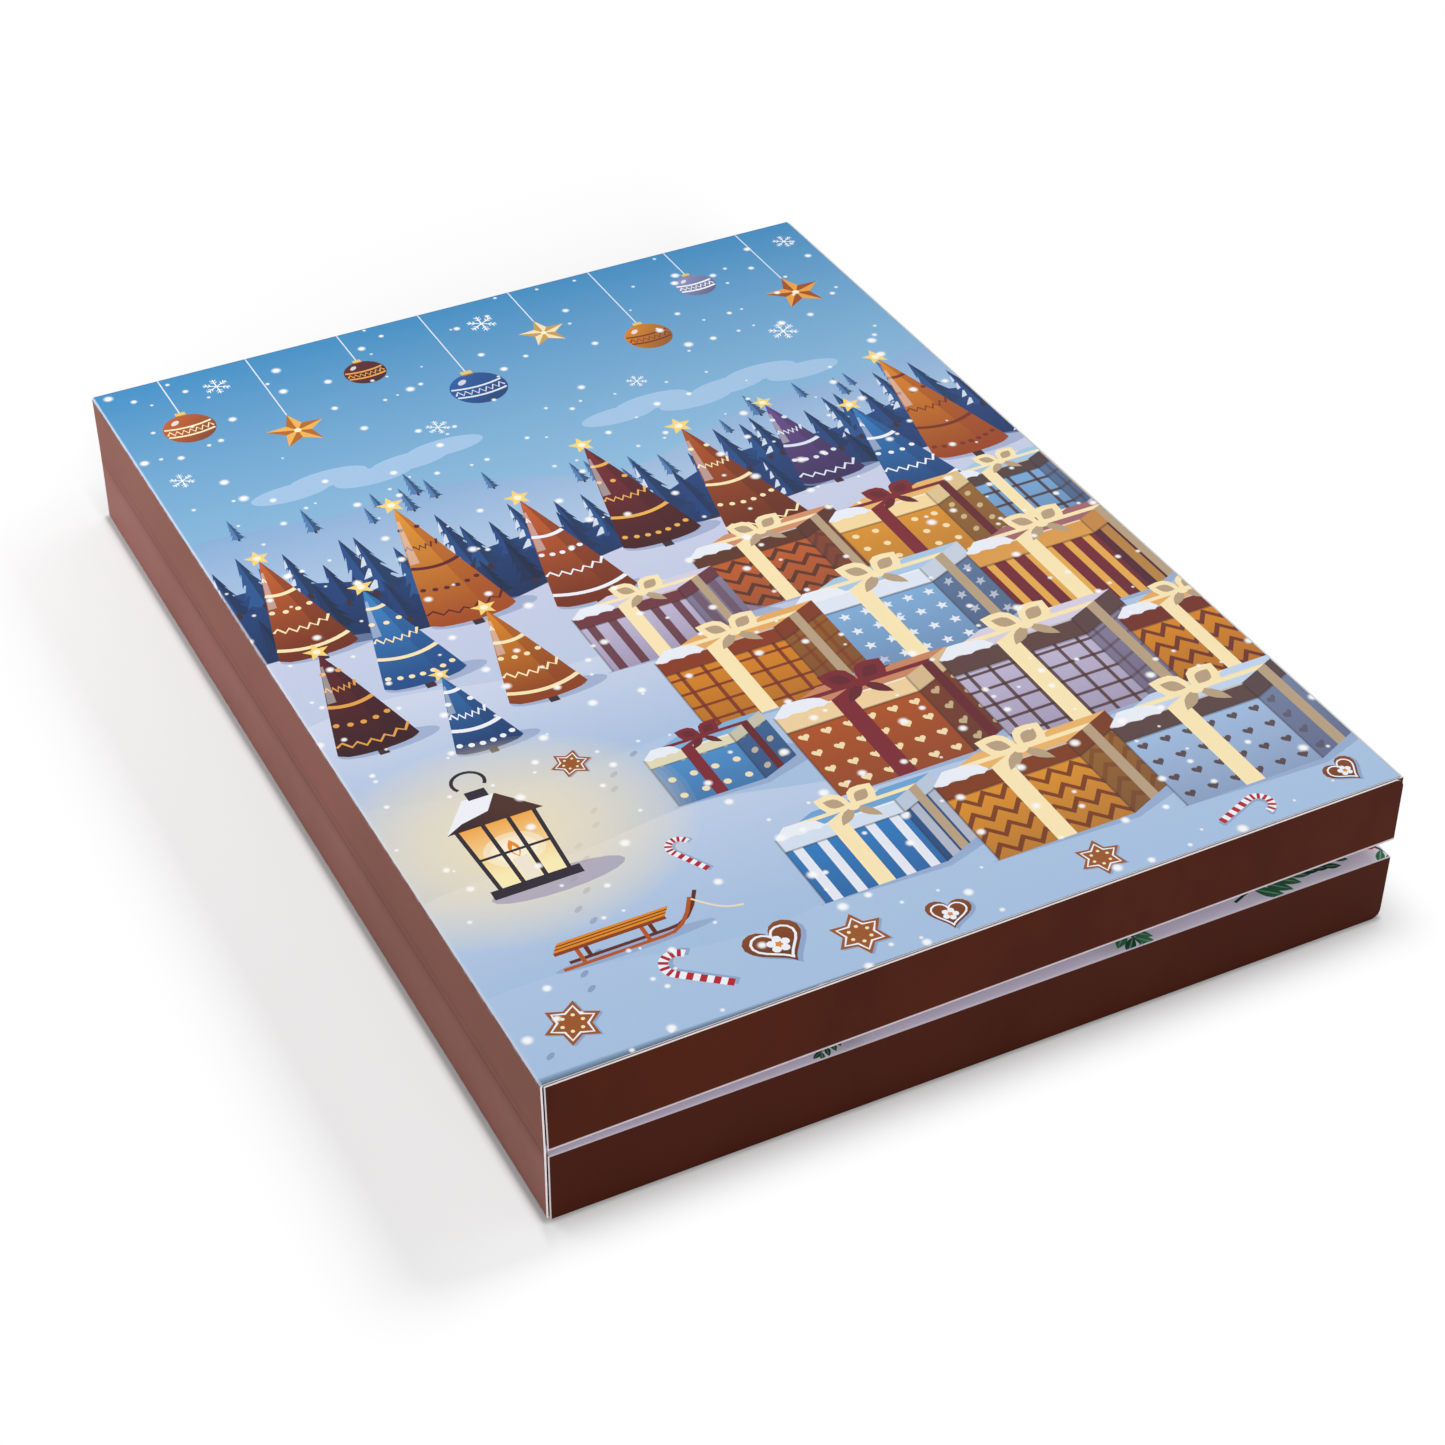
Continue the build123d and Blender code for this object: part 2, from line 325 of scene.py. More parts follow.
def printedLayer(name, flat, chosen, bend, heights, material):
    # A closed skin: the chosen triangles, the same ones turned over below, and a rim between.
    # bend carries sheet points and a height above the board to the row frame.
    used, index = np.unique(flat["triangles"][chosen], return_inverse=True)
    index, colours, sheet = index.reshape(-1, 3), flat["colours"][chosen], flat["points"][used]
    first, second, third = sheet[index].transpose(1, 0, 2)
    backwards = np.cross(second - first, third - first) < 0
    index[backwards] = index[backwards][:, ::-1]
    colours[backwards] = colours[backwards][:, ::-1]
    a, b = outerEdges(index).T
    count = len(sheet)
    walls = np.concatenate((np.column_stack((a, a + count, b + count)),
                            np.column_stack((a, b + count, b))))
    faces = np.concatenate((index, index[:, ::-1] + count, walls))
    mesh = bpy.data.meshes.new(name)
    mesh.from_pydata(np.concatenate([bend(sheet, height) for height in heights]), [], faces)
    edge = np.tile(linear(board["core"]), (len(faces) - len(index), 3, 1))
    shades = np.concatenate((colours, edge)).reshape(-1, 3)
    attribute = mesh.color_attributes.new("print", "FLOAT_COLOR", "CORNER")
    opaque = np.column_stack((shades, np.ones(len(shades))))
    attribute.data.foreach_set("color", opaque.astype(np.float32).ravel())
    # The bake's map: the printed side large, the hidden sides small in the far corner
    low, high = sheet.min(0), sheet.max(0)
    share = np.tile((sheet - low) / (high - low).max(), (2, 1))[faces]
    size, corner = bakeMap["printed"]
    place = share * size + corner
    size, corner = bakeMap["hidden"]
    place[len(index):] = share[len(index):] * size + corner
    layer = mesh.uv_layers.new(name="OFBake")
    layer.data.foreach_set("uv", place.astype(np.float32).ravel())
    return addPiece(name, mesh, material)


def addPiece(name, mesh, material):
    piece = bpy.data.objects.new(name, mesh)
    mesh.materials.append(material)
    bpy.context.scene.collection.objects.link(piece)
    return piece


def skin(rings, closed=False, flipped=False):
    # Faces over a stack of equal rings: quads between neighbours and a cap at both ends or, when
    # closed, a join of the last ring to the first
    a = np.arange(rings.shape[0] * rings.shape[1]).reshape(rings.shape[:2])
    c = np.roll(a, -1, 0)
    quads = np.stack((a, np.roll(a, -1, 1), np.roll(c, -1, 1), c), 2)
    faces = quads[:None if closed else -1].reshape(-1, 4).tolist()
    faces += [] if closed else [a[0, ::-1].tolist(), a[-1].tolist()]
    return [face[::-1] for face in faces] if flipped else faces


# Outlines for the artwork

def turned(points, turn):
    # x cos - y sin, x sin + y cos: each point turned about the origin
    cos, sin = math.cos(turn), math.sin(turn)
    return np.asarray(points, float) @ np.array(((cos, sin), (-sin, cos)))


def around(count, radius, turn=0.0):
    # Points at even turns on a circle; the radius may be one for each point
    t = turn + np.arange(count) * 2 * math.pi / count
    return np.column_stack((radius * np.cos(t), radius * np.sin(t)))


def oval(x, y, rx, ry=None, turn=0.0, count=20):
    # x = rx cos t, y = ry sin t, turned
    return turned(around(count, 1) * (rx, ry or rx), turn) + (x, y)


def star(x, y, radius, share=0.45, points=5, turn=math.pi / 2):
    # The radius swings between the tip and a share of it
    return around(2 * points, radius * np.tile((1, share), points), turn) + (x, y)


def heart(x, y, size, turn=0.0, count=28):
    # x = sin cubed, y = a sum of four cosines: the usual heart curve
    t = np.linspace(0, 2 * math.pi, count, endpoint=False)
    across = 16 * np.sin(t) ** 3
    up = 13 * np.cos(t) - 5 * np.cos(2 * t) - 2 * np.cos(3 * t) - np.cos(4 * t)
    return turned(np.column_stack((across, up + 2)) * size / 34, turn) + (x, y)


def leaf(x, y, length, width, turn, count=6):
    # Two bowed sides between two tips, half the width times the sine of the way along
    t = np.linspace(0, 1, count)
    side = np.column_stack((length * t, width / 2 * np.sin(math.pi * t)))
    return turned((*side, *(side * (1, -1))[-2:0:-1]), turn) + (x, y)


def leftOf(way):
    # Unit normals to the left of each direction
    return np.column_stack((-way[:, 1], way[:, 0])) / np.linalg.norm(way, axis=1)[:, None]


def sidesOf(path, width, ends):
    # Both edges of a strip along a path, offset by half its width along the path's normals
    path = np.asarray(path, float)
    half = np.linspace(width, ends or width, len(path))[:, None] / 2
    normal = leftOf(np.gradient(path, axis=0))
    return path + normal * half, path - normal * half


def band(path, width, ends=None):
    # One edge of a strip along a path and back along the other, tapering to the width at its end
    left, right = sidesOf(path, width, ends)
    return np.concatenate((left, right[::-1]))


def mapped(points, origin, right, up):
    # Points of a unit square carried to a parallelogram
    points = np.asarray(points, float)
    return np.array(origin) + points[:, :1] * np.array(right) + points[:, 1:] * np.array(up)


def box2(x0, y0, x1, y1):
    return ((x0, y0), (x1, y0), (x1, y1), (x0, y1))


# Board materials; the wrap, the trays and the faces are printed folding board

board = {
    "spinePrint": {"upper": "8a5246", "lower": "935d56"},
    "spineShade": {"upper": "774433", "lower": "7d4c3d"},
    # The flaps' brown print; the lower flap's is darker by painted shade, for the floor's shade on
    # it
    "flapPrintAndShade": {"upper": "4f1e0d", "lower": "461a0c"},
    "flapShade": "3f160a",
    "creaseShade": "642e1e",
    "slot": "2b1d1c",      # painted shade in the slot between the boards of the wrap's cut end
    "scuffs": "d9d3da",
    "flapFold": "e8dbe2",
    "core": "f4ecee",
    "inside": "b9b0a8",
    "page": "dfd7e6",
    "backPanel": "d9dbd9",
    "grain": 2.2,          # noise scale per millimetre
    "mottle": 0.05,
    "roughness": 0.50,
    "spineShine": 0.06,    # specular level of each print
    "flapShine": 0.05,
    "printShine": 0.13,
    "cutDepth": 0.03,      # how near to a cut edge counts as that edge
    "thick": 0.45,         # the carton's board, in millimetres
    "worn": 0.30,          # width of the ink worn off along the flaps' edge by the spine
    "foldWearAndHighlight": {"lower": (0.30, 0.08), "upper": (0.75, 0.40)},  # wear and painted highlight along the flap's fold, below the page's level
}


def paperGrain(shader, strength):
    # Fine fibres: two scales of noise, the coarser one stretched along the board
    fine = shader.noise(board["grain"] * 1.4, 4.0)
    fibres = shader.noise(board["grain"] * 0.5, stretch=(1, 0.22, 1))
    height = fine * 0.6 + fibres * 0.4
    return height, shader.bump(height, strength, 0.00004)


def mottled(shader, colour, height, amount):
    # The colour goes lighter and darker with the grain
    shade = (height - 0.5) * (2 * amount) + 1.0
    white = shader.node("ShaderNodeCombineXYZ", None, shade, shade, shade)
    return shader.mix(1.0, colour, white, "MULTIPLY")


def foldWear(shader):
    # Scuffs that come and go along the spine, as noise of the place along it alone
    return shader.noise(0.32, 5.0, 0.72, (0.02, 1, 0.02))


def wrapColour(shader, printed, across, along, up):
    # Print with painted shade along the crease and in the slot at its cut ends, scuffs at the fold,
    # and the board's pale core at its cut edges and inside
    ramp, mix, thick, cut = shader.ramp, shader.mix, book["board"], board["cutDepth"]
    # Painted shade along the spine's crease: a narrow noisy dark line and a wider soft band
    off = abs(up - (book["creaseZ"] - 0.4))
    crease = (1 - ramp(off, 0.2, 1.3)) * (shader.noise(0.9, 3.0, 0.6) * 0.4 + 0.1)
    creaseShadeBand = (1 - ramp(off, 0.5, 5.5)) * 0.26
    printed = mix(crease + creaseShadeBand, printed, board["creaseShade"])
    fold = (1 - ramp(across + up, 0.7, 1.5)) * ramp(foldWear(shader), 0.40, 0.62)
    printed = mix(fold * 0.3, printed, board["scuffs"])
    half, width = book["length"] / 2, book["width"]
    atEnds = ramp(abs(along - half), half - cut * 2, half - cut)
    atEdge = ramp(across, width - 2 * cut, width - cut)
    inner = ramp(up, thick - 0.02, thick - 0.01) * ramp(across, thick - 0.02, thick - 0.01)
    colour = mix(atEnds.orMore(atEdge).orMore(inner), printed, board["core"])
    # Painted shade: the lower part of the wrap's cut ends is darkened toward the slot colour, where
    # the flap shades it
    return mix(atEnds * ramp(up, 0.14, 0.22) * ramp(across, 0.5, 0.8) * 0.8, colour, board["slot"])


def faceColour(shader, side, printed, across, along, up):
    # Brown on the end flaps with a pale line along their folds, partly wear and partly painted
    # highlight, and the pale page's board on top
    ramp, mix, top, middle = shader.ramp, shader.mix, book["faceTop"], book["length"] / 2
    depth = middle - book["faceY"]
    onFlap = ramp(abs(along - middle), depth - 0.03, depth - 0.015)
    first, last = board["foldWearAndHighlight"][side]
    wearAndHighlight = shader.noise(0.16, 5.0, 0.7) * 0.5 + 0.55
    # A pale line along the flap's fold: partly worn ink, partly a painted highlight on the fold's
    # round edge
    printed = mix(ramp(up, top - first, top - last) * wearAndHighlight, printed, board["flapFold"])
    colour = mix(onFlap, board["inside"], printed)
    colour = mix(ramp(up, top - 0.02, top - 0.01), colour, board["page"])
    normal = shader.split(shader.node("ShaderNodeTexCoord", output="Normal"))
    ends = ramp(abs(normal[2]), 0.9, 0.95) * (1 - ramp(up, top - 1, top - 0.9))
    flapX, worn = book["faceX"] - flapOverhang, board["worn"]
    edgeWear = (1 - ramp(across, flapX + worn * 0.6, flapX + worn)) * onFlap * 0.8
    cutEdge = ramp(abs(normal[0]), 0.7, 0.8).orMore(ends).orMore(edgeWear)
    return mix(cutEdge, colour, board["core"])


def trayColour(shader, printed, across, along, up):
    # Printed on its outer walls, bare inside, and plain on the panel against the cover
    ramp, left, middle = shader.ramp, book["faceX"], book["length"] / 2
    right, end = left + book["faceWidth"], middle - book["faceY"] - board["thick"]
    outer = ramp(across, right - 0.04, right - 0.02).orMore(
        1 - ramp(across, left + 0.02, left + 0.04)).orMore(
        ramp(abs(along - middle), end - 0.04, end - 0.02))
    colour = shader.mix(outer, board["inside"], printed)
    panel = 1 - ramp(up, book["board"] + 0.02, book["board"] + 0.04)
    return shader.mix(panel, colour, board["backPanel"])


def boardMaterial(name, side, outside, kind):
    shader = Shader(name)
    place = outOfHalf(side, *shader.split(shader.place()))
    height, normal = paperGrain(shader, 0.25)
    patches = shader.ramp(shader.noise(0.035, 4.0, 0.6, (1, 0.3, 0.5)), 0.35, 0.7)
    shade = board["spineShade"][side] if kind == "wrap" else board["flapShade"]
    printed = shader.mix(patches * 0.6, outside, shade)
    paint = {"wrap": wrapColour, "face": partial(faceColour, side=side), "tray": trayColour}[kind]
    colour = paint(shader, printed=printed, across=place[0], along=place[1], up=place[2])
    return shader.surface(mottled(shader, colour, height, board["mottle"]),
                          height * 0.12 + (board["roughness"] - 0.06), normal,
                          Specular_IOR_Level=board["spineShine" if kind == "wrap" else "flapShine"])


def filmMaterial():
    # Dark formed film: glossy, with the slight waves that stretching leaves in it
    shader = Shader("formedFilm")
    waves, haze = shader.noise(0.09, 2.0), shader.noise(0.6)
    return shader.surface(shader.mix(haze, "3a2017", "4c2b1e"), haze * 0.1 + 0.16,
                          shader.bump(waves, 0.4, 0.0006), Specular_IOR_Level=0.6)


def printMaterial(name, roughness, snowfall):
    # Ink from the sheet's own colours, paper grain, and on the cover the printed snow and the
    # fold's worn edge
    shader = Shader(name)
    ink = shader.node("ShaderNodeAttribute", {"attribute_name": "print"})
    height, normal = paperGrain(shader, 0.22)
    for flakes in snowfall:
        ink = printedSnow(shader, ink, **flakes)
    if snowfall:
        across = outOfHalf("upper", *shader.split(shader.place()))[0]
        edge = (1 - shader.ramp(across, 0.20, 0.85)) * (foldWear(shader) * 0.5 + 0.25)
        ink = shader.mix(edge, ink, "e3e9f5")
    return shader.surface(mottled(shader, ink, height, 0.035),
                          height * 0.1 + (roughness - 0.05), normal,
                          Specular_IOR_Level=board["printShine"])


def printedSnow(shader, ink, cell, smallest, largest, share, strength, shift):
    # One soft round flake in each cell of a random cell pattern, its size drawn per cell
    flat = shader.node("ShaderNodeVectorMath", {"operation": "ADD"}, shader.place((1, 1, 0)), shift)
    cells = shader.node("ShaderNodeTexVoronoi", {"voronoi_dimensions": "2D"}, flat, Scale=1 / cell)
    sizeDraw, shownDraw, _ = shader.split(cells.other("Color"))
    radius = sizeDraw * (largest - smallest) + smallest
    flake = 1 - shader.ramp(cells * cell / radius, 0.25, 1.0)
    shown = shader.ramp(shownDraw, 1 - share, 1.001 - share)
    return shader.mix(flake * shown * strength, ink, "ffffff")


print("materials")
materials = {"lower_insert": filmMaterial()}
materials["upper_insert"] = materials["lower_insert"]
parents = {joint["child"]: joint["parent"] for joint in frame["joints"]}
doors = {side: [name for name in frame["nodes"]
                if name.startswith("door_") and parents[name] == side + "_half"]
         for side in ("lower", "upper")}
for side, cover in (("lower", "back_cover"), ("upper", "front_cover")):
    # The lower half's flap brown carries painted shade
    brown = board["flapPrintAndShade"][side]
    for node, kind, outside in ((cover, "wrap", board["spinePrint"][side]),
                                (side + "_face", "face", brown), (side + "_tray", "tray", brown)):
        materials[node] = boardMaterial(node + "Board", side, outside, kind)
    doorBoard = boardMaterial(side + "DoorBoard", side, board["inside"], "tray")
    materials.update({name: doorBoard for name in doors[side]})
for name, material in materials.items():
    mesh = frame["nodes"][name].data
    mesh.materials.clear()
    mesh.materials.append(material)


# Gingerbreads: dough that rose in the oven, with glaze, piped icing, almonds and sugar pearls

cakes = {
    "order": ("round", "star", "heart", "tree"),     # along each row, from the front end
    "step": 1.15,                    # millimetres between the points of the top
    "rings": (0.15, 0.5, 1.05, 1.8),  # closer points near the edge, where the side is steep
    "edgeRadius": 6.0,
    "edgeStart": 1.3,                # height of the widest line above the base
    "underCut": 0.8,
    "fullness": 2.3,                 # 2 is a quarter of an ellipse, more is squarer
    "lumps": 0.20,
    "waferThickness": 1.2,
    "waferRim": 0.9,
    "glazeFrom": 2.6,
    "glazeThickness": 0.45,
    "dough": ("5d3016", "7a4522", "a8703e", "3c1d0d"),   # dark, middle, lighter on raised crumbs, painted shade in the pores
    "wafer": "efe6d6",
    "chocolate": "2c150d",
    "sugar": "eee4d6",
    "icing": "fbf6ee",
    "almond": "e9d2a8",
    "pearls": ("b3202c", "f0b93a", "2f7a4c", "f7f1e6"),
    "lineRadius": 0.85,
}


def baseOutline(node, side):
    # The CAD solid's lowest face as one closed loop, with its height and that of the top
    corners = halfTriangles(node, side)
    base, top = corners[:, :, 2].min(), corners[:, :, 2].max()
    flat = corners[(corners[:, :, 2] < base + 0.05).all(1)].reshape(-1, 3)[:, :2]
    places, index = np.unique(np.round(flat, 3), axis=0, return_inverse=True)
    follow = dict(outerEdges(index.reshape(-1, 3)).tolist())
    loop = [next(iter(follow))]
    while follow[loop[-1]] != loop[0]:
        loop.append(follow[loop[-1]])
    return anticlockwise(places[loop]), base, top


def spaced(loop, step, rounding=0):
    # The loop with points at even steps; each rounding pass averages every point with its two
    # neighbours
    closed = np.concatenate((loop, loop[:1]))
    way = np.concatenate(([0], np.cumsum(np.linalg.norm(np.diff(closed, axis=0), axis=1))))
    at = np.linspace(0, way[-1], max(12, round(way[-1] / step)), endpoint=False)
    even = np.column_stack([np.interp(at, way, values) for values in closed.T])
    for _ in range(rounding):
        even = (np.roll(even, 1, 0) + 2 * even + np.roll(even, -1, 0)) / 4
    return even


def inward(loop):
    # Unit normals to the left of an anticlockwise loop
    return leftOf(np.roll(loop, -1, 0) - np.roll(loop, 1, 0))


def depthInside(points, loop):
    # Distance to the nearest side of the loop, negative outside it
    a, b = loop[None], np.roll(loop, -1, 0)[None]
    p = points[:, None]
    side, way = b - a, p - a
    share = np.clip((way * side).sum(2) / (side ** 2).sum(2), 0, 1)[..., None]
    distance = np.linalg.norm(way - side * share, axis=2).min(1)
    spans = (a[..., 1] > p[..., 1]) != (b[..., 1] > p[..., 1])
    rise = np.where(side[..., 1] == 0, 1, side[..., 1])
    crossing = a[..., 0] + (p[..., 1] - a[..., 1]) * side[..., 0] / rise
    return np.where((spans & (p[..., 0] < crossing)).sum(1) % 2, distance, -distance)


def insetLoop(loop, depth):
    # The loop moved inwards, without the points that then lie too near another side
    moved = loop + inward(loop) * depth
    return spaced(moved[depthInside(moved, loop) > depth * 0.96], 1.0, 3)


class Dough:
    # A baked body: its outline, its height over any point inside it, and all that lies on it
    def __init__(self, loop, base, top, draw):
        self.loop, self.base, self.top = spaced(loop, 1.0, 2), base, top
        self.waves = draw.uniform(-1, 1, (10, 2)) * 0.75
        self.phases = draw.uniform(0, 2 * math.pi, 10)
        self.coat = 0.0
        self.points, self.faces, self.tints, self.slots = [], [], [], []

    def add(self, points, faces, colour, cover=1.0, slot=1):
        # cover is the glaze's share at each point, kept beside the colour
        start, count = sum(map(len, self.points)), len(points)
        self.points.append(points)
        self.faces += [[start + corner for corner in face] for face in faces]
        self.tints.append(np.column_stack((np.tile(linear(colour), (count, 1)),
                                           np.full(count, cover))))
        self.slots += [slot] * len(faces)

    def lumps(self, points):
        # Ten plane waves with drawn directions, averaged
        return np.cos(points @ self.waves.T + self.phases).mean(1)

    def height(self, points, depth=None):
        # A rounded shoulder: one minus the missing share to a power, and its root
        depth = depthInside(points, self.loop) if depth is None else depth
        missing = 1 - np.clip(depth / cakes["edgeRadius"], 0, 1)
        shoulder = (1 - missing ** cakes["fullness"]) ** (1 / cakes["fullness"])
        start = self.base + cakes["edgeStart"]
        rise = self.top - start - self.coat * cakes["glazeThickness"]
        bulge = cakes["lumps"] * 3 * self.lumps(points) * shoulder
        return start + rise * shoulder + bulge + self.glaze(points, depth) * cakes["glazeThickness"]

    def glaze(self, points, depth):
        # 1 under the glaze, which ends in a wavy line near the edge
        way = (depth + 2.2 * self.lumps(points * 1.6) - cakes["glazeFrom"]) / 0.8
        return self.coat * np.clip(way, 0, 1)

    def body(self, colour="chocolate"):
        # Loops near the edge and a triangular grid further in, raised to the dough's height
        loop, rings, step = self.loop, [self.loop], cakes["step"]
        for depth in cakes["rings"]:
            ring = loop + inward(loop) * depth
            rings.append(ring[depthInside(ring, loop) > depth * 0.9])
        (west, south), (east, north) = loop.min(0), loop.max(0)
        x, y = np.meshgrid(np.arange(west, east, step), np.arange(south, north, step * 0.87))
        x[1::2] += step / 2
        grid = np.column_stack((x.ravel(), y.ravel()))
        rings.append(grid[depthInside(grid, loop) > cakes["rings"][-1] + 0.5 * step])
        flat = [Vector(point) for point in np.concatenate(rings)]
        cut = delaunay_2d_cdt(flat, [], [list(range(len(loop)))], 1, joinWithin, True)
        points = np.array([tuple(point) for point in cut[0]])
        place = {source: index for index, sources in enumerate(cut[3]) for source in sources}
        rim = np.array([place[index] for index in range(len(loop))])
        depth = depthInside(points, loop)
        depth[rim] = 0
        foot = loop + inward(loop) * cakes["underCut"]
        below = len(points) + np.arange(len(foot))
        sides = np.column_stack((below, np.roll(below, -1), np.roll(rim, -1), rim))
        self.add(np.concatenate((np.column_stack((points, self.height(points, depth))),
                                 np.column_stack((foot, np.full(len(foot), self.base))))),
                 [*map(tuple, cut[2]), *sides.tolist(), below[::-1].tolist()], cakes[colour],
                 np.concatenate((self.glaze(points, depth), np.zeros(len(foot)))), 0)

    def pipe(self, path, radius=None, closed=True, beads=0.0):
        # A line of icing: a flattened circle carried along the path, lying on the dough. Its
        # radius swings with the beads, and an open line thins to nothing at both ends
        across = inward(path) if closed else leftOf(np.gradient(path, axis=0))
        radius, run = radius or cakes["lineRadius"], np.arange(len(path))
        width = radius * (1 + beads * np.cos(run * math.pi / 2))
        if not closed:
            width = width * np.sqrt(np.clip(np.minimum(run, run[::-1]) / 2, 0.02, 1))
        t = np.linspace(0, 2 * math.pi, 8, endpoint=False)
        flat = path[:, None] + across[:, None] * (width[:, None] * np.cos(t))[..., None]
        up = (self.height(path) + radius * 0.25)[:, None] + np.sin(t) * width[:, None] * 0.8
        rings = np.concatenate((flat, up[..., None]), 2)
        self.add(rings.reshape(-1, 3), skin(rings, closed), cakes["icing"])

    def drop(self, x, y, sizes, colour, turn=0.0, point=0.0, count=(7, 10), sunk=0.3):
        # A flattened ball, narrower towards one end by the given share, part sunk in the dough
        v = np.linspace(0.04, math.pi - 0.04, count[0])[:, None]
        u = np.linspace(0, 2 * math.pi, count[1], endpoint=False)
        along = np.cos(v) + 0 * u
        girth = np.sin(v) * (1 - point * along)
        flat = np.stack((along * sizes[0], girth * np.cos(u) * sizes[1]), 2)
        level = self.height(np.array(((x, y),)))[0] + sizes[2] * (1 - 2 * sunk)
        up = girth * np.sin(u) * sizes[2] + level
        rings = np.concatenate((turned(flat, turn) + (x, y), up[..., None]), 2)
        self.add(rings.reshape(-1, 3), skin(rings, flipped=True), colour)

    def pearl(self, x, y, size, number):
        self.drop(x, y, (size,) * 3, cakes["pearls"][number])


def roundCake(dough, centre, draw, number):
    # Glazed all over, with three almonds at about even turns that point to the middle
    dough.coat = 1.0
    dough.body("chocolate" if number % 2 else "sugar")
    first = draw.uniform(0, math.pi)
    for k in range(3):
        turn = first + k * 2 * math.pi / 3 + draw.uniform(-0.12, 0.12)
        x, y = centre + around(1, 10.5, turn)[0]
        dough.drop(x, y, (9.0, 4.6, 2.6), cakes["almond"], turn + math.pi, 0.3, (11, 14), 0.25)


def starCake(dough, centre, draw, number):
    # A piped line inside the outline, six pearls on a circle and one in the middle
    dough.coat = 1.0
    dough.body()
    dough.pipe(insetLoop(dough.loop, 5.2))
    for x, y in centre + around(6, 11, math.pi / 2):
        dough.pearl(x, y, 1.5, number % 4)
    dough.pearl(*centre, 2.0, (number + 1) % 4)


def heartCake(dough, centre, draw, number):
    # A beaded line inside the outline, a flower of five drops, and a bowed swirl on each side
    dough.body()
    dough.pipe(insetLoop(dough.loop, 3.6), beads=0.35)
    middle = centre + (0, 2.0)
    for k in range(5):
        turn = math.pi / 2 + k * 2 * math.pi / 5
        x, y = middle + around(1, 4.2, turn)[0]
        dough.drop(x, y, (2.9, 2.1, 1.3), cakes["icing"], turn)
    dough.pearl(*middle, 1.7, number % 2)
    t = np.linspace(0, 1, 16)
    for sign in (-1, 1):
        swirl = np.column_stack((sign * (8 + 5 * t), -4 + 9 * t - 4 * np.sin(math.pi * t)))
        dough.pipe(middle + swirl, 0.65, closed=False)


def treeCake(dough, centre, draw, number):
    # Three sagging garlands of icing, each with pearls below it
    dough.body()
    low, high = dough.loop[:, 1].min(), dough.loop[:, 1].max()
    for k, share in enumerate((0.28, 0.50, 0.71)):
        y = low + (high - low) * share
        near = dough.loop[np.abs(dough.loop[:, 1] - y) < 1.2]
        reach = np.abs(near[:, 0] - centre[0]).min() - 4.2
        t = np.linspace(-1, 1, 26)
        dough.pipe(np.column_stack((centre[0] + reach * t, y - 2.4 * (1 - t ** 2) + 1.1)),
                   closed=False)
        for place in np.linspace(-0.6, 0.6, 4 - k):
            dough.pearl(centre[0] + reach * place, y - 2.4 * (1 - place ** 2) - 1.8, 1.3,
                        (k + number + round(9 * place)) % 4)


def doughMaterial():
    # Baked dough with crumbs and pores, painted shade darkening the pores; the coat attribute
    # carries a glaze's colour and cover
    shader = Shader("bakedDough")
    coat = shader.node("ShaderNodeAttribute", {"attribute_name": "coat"})
    cover = coat.other("Alpha")
    crumbs, patches = shader.noise(0.75, 6.0, 0.68), shader.noise(0.12)
    pores = shader.ramp(shader.noise(1.6, 2.0), 0.34, 0.46)
    dark, middle, raisedCrumbTone, poreShade = cakes["dough"]
    crust = shader.mix(shader.ramp(patches + crumbs * 0.4, 0.45, 0.95), dark, middle)
    # Lighter where the crumbs stand highest
    crust = shader.mix(shader.ramp(crumbs, 0.55, 0.8) * 0.5, crust, raisedCrumbTone)
    # Painted shade in the pores: darker where the relief dips
    crust = shader.mix((1 - pores) * 0.6, crust, poreShade)
    glaze = shader.mix(shader.ramp(patches, 0.4, 0.7) * 0.12, coat, "b08a60")
    relief = (crumbs * 0.7 + pores * 0.3) * (1 - cover * 0.86) + patches * cover * 0.6
    roughness = (1 - cover) * 0.78 + cover * (crumbs * 0.12 + 0.24)
    return shader.surface(shader.mix(cover, crust, glaze), roughness,
                          shader.bump(relief, 0.55, 0.0006))


def toppingMaterial():
    # Icing, nuts, pearls and wafer, in the colour that the coat attribute carries
    shader = Shader("icingAndNuts")
    tint = shader.node("ShaderNodeAttribute", {"attribute_name": "coat"})
    grain = shader.noise(1.3)
    return shader.surface(mottled(shader, tint, grain, 0.10), grain * 0.2 + 0.36,
                          shader.bump(grain, 0.2, 0.0003))


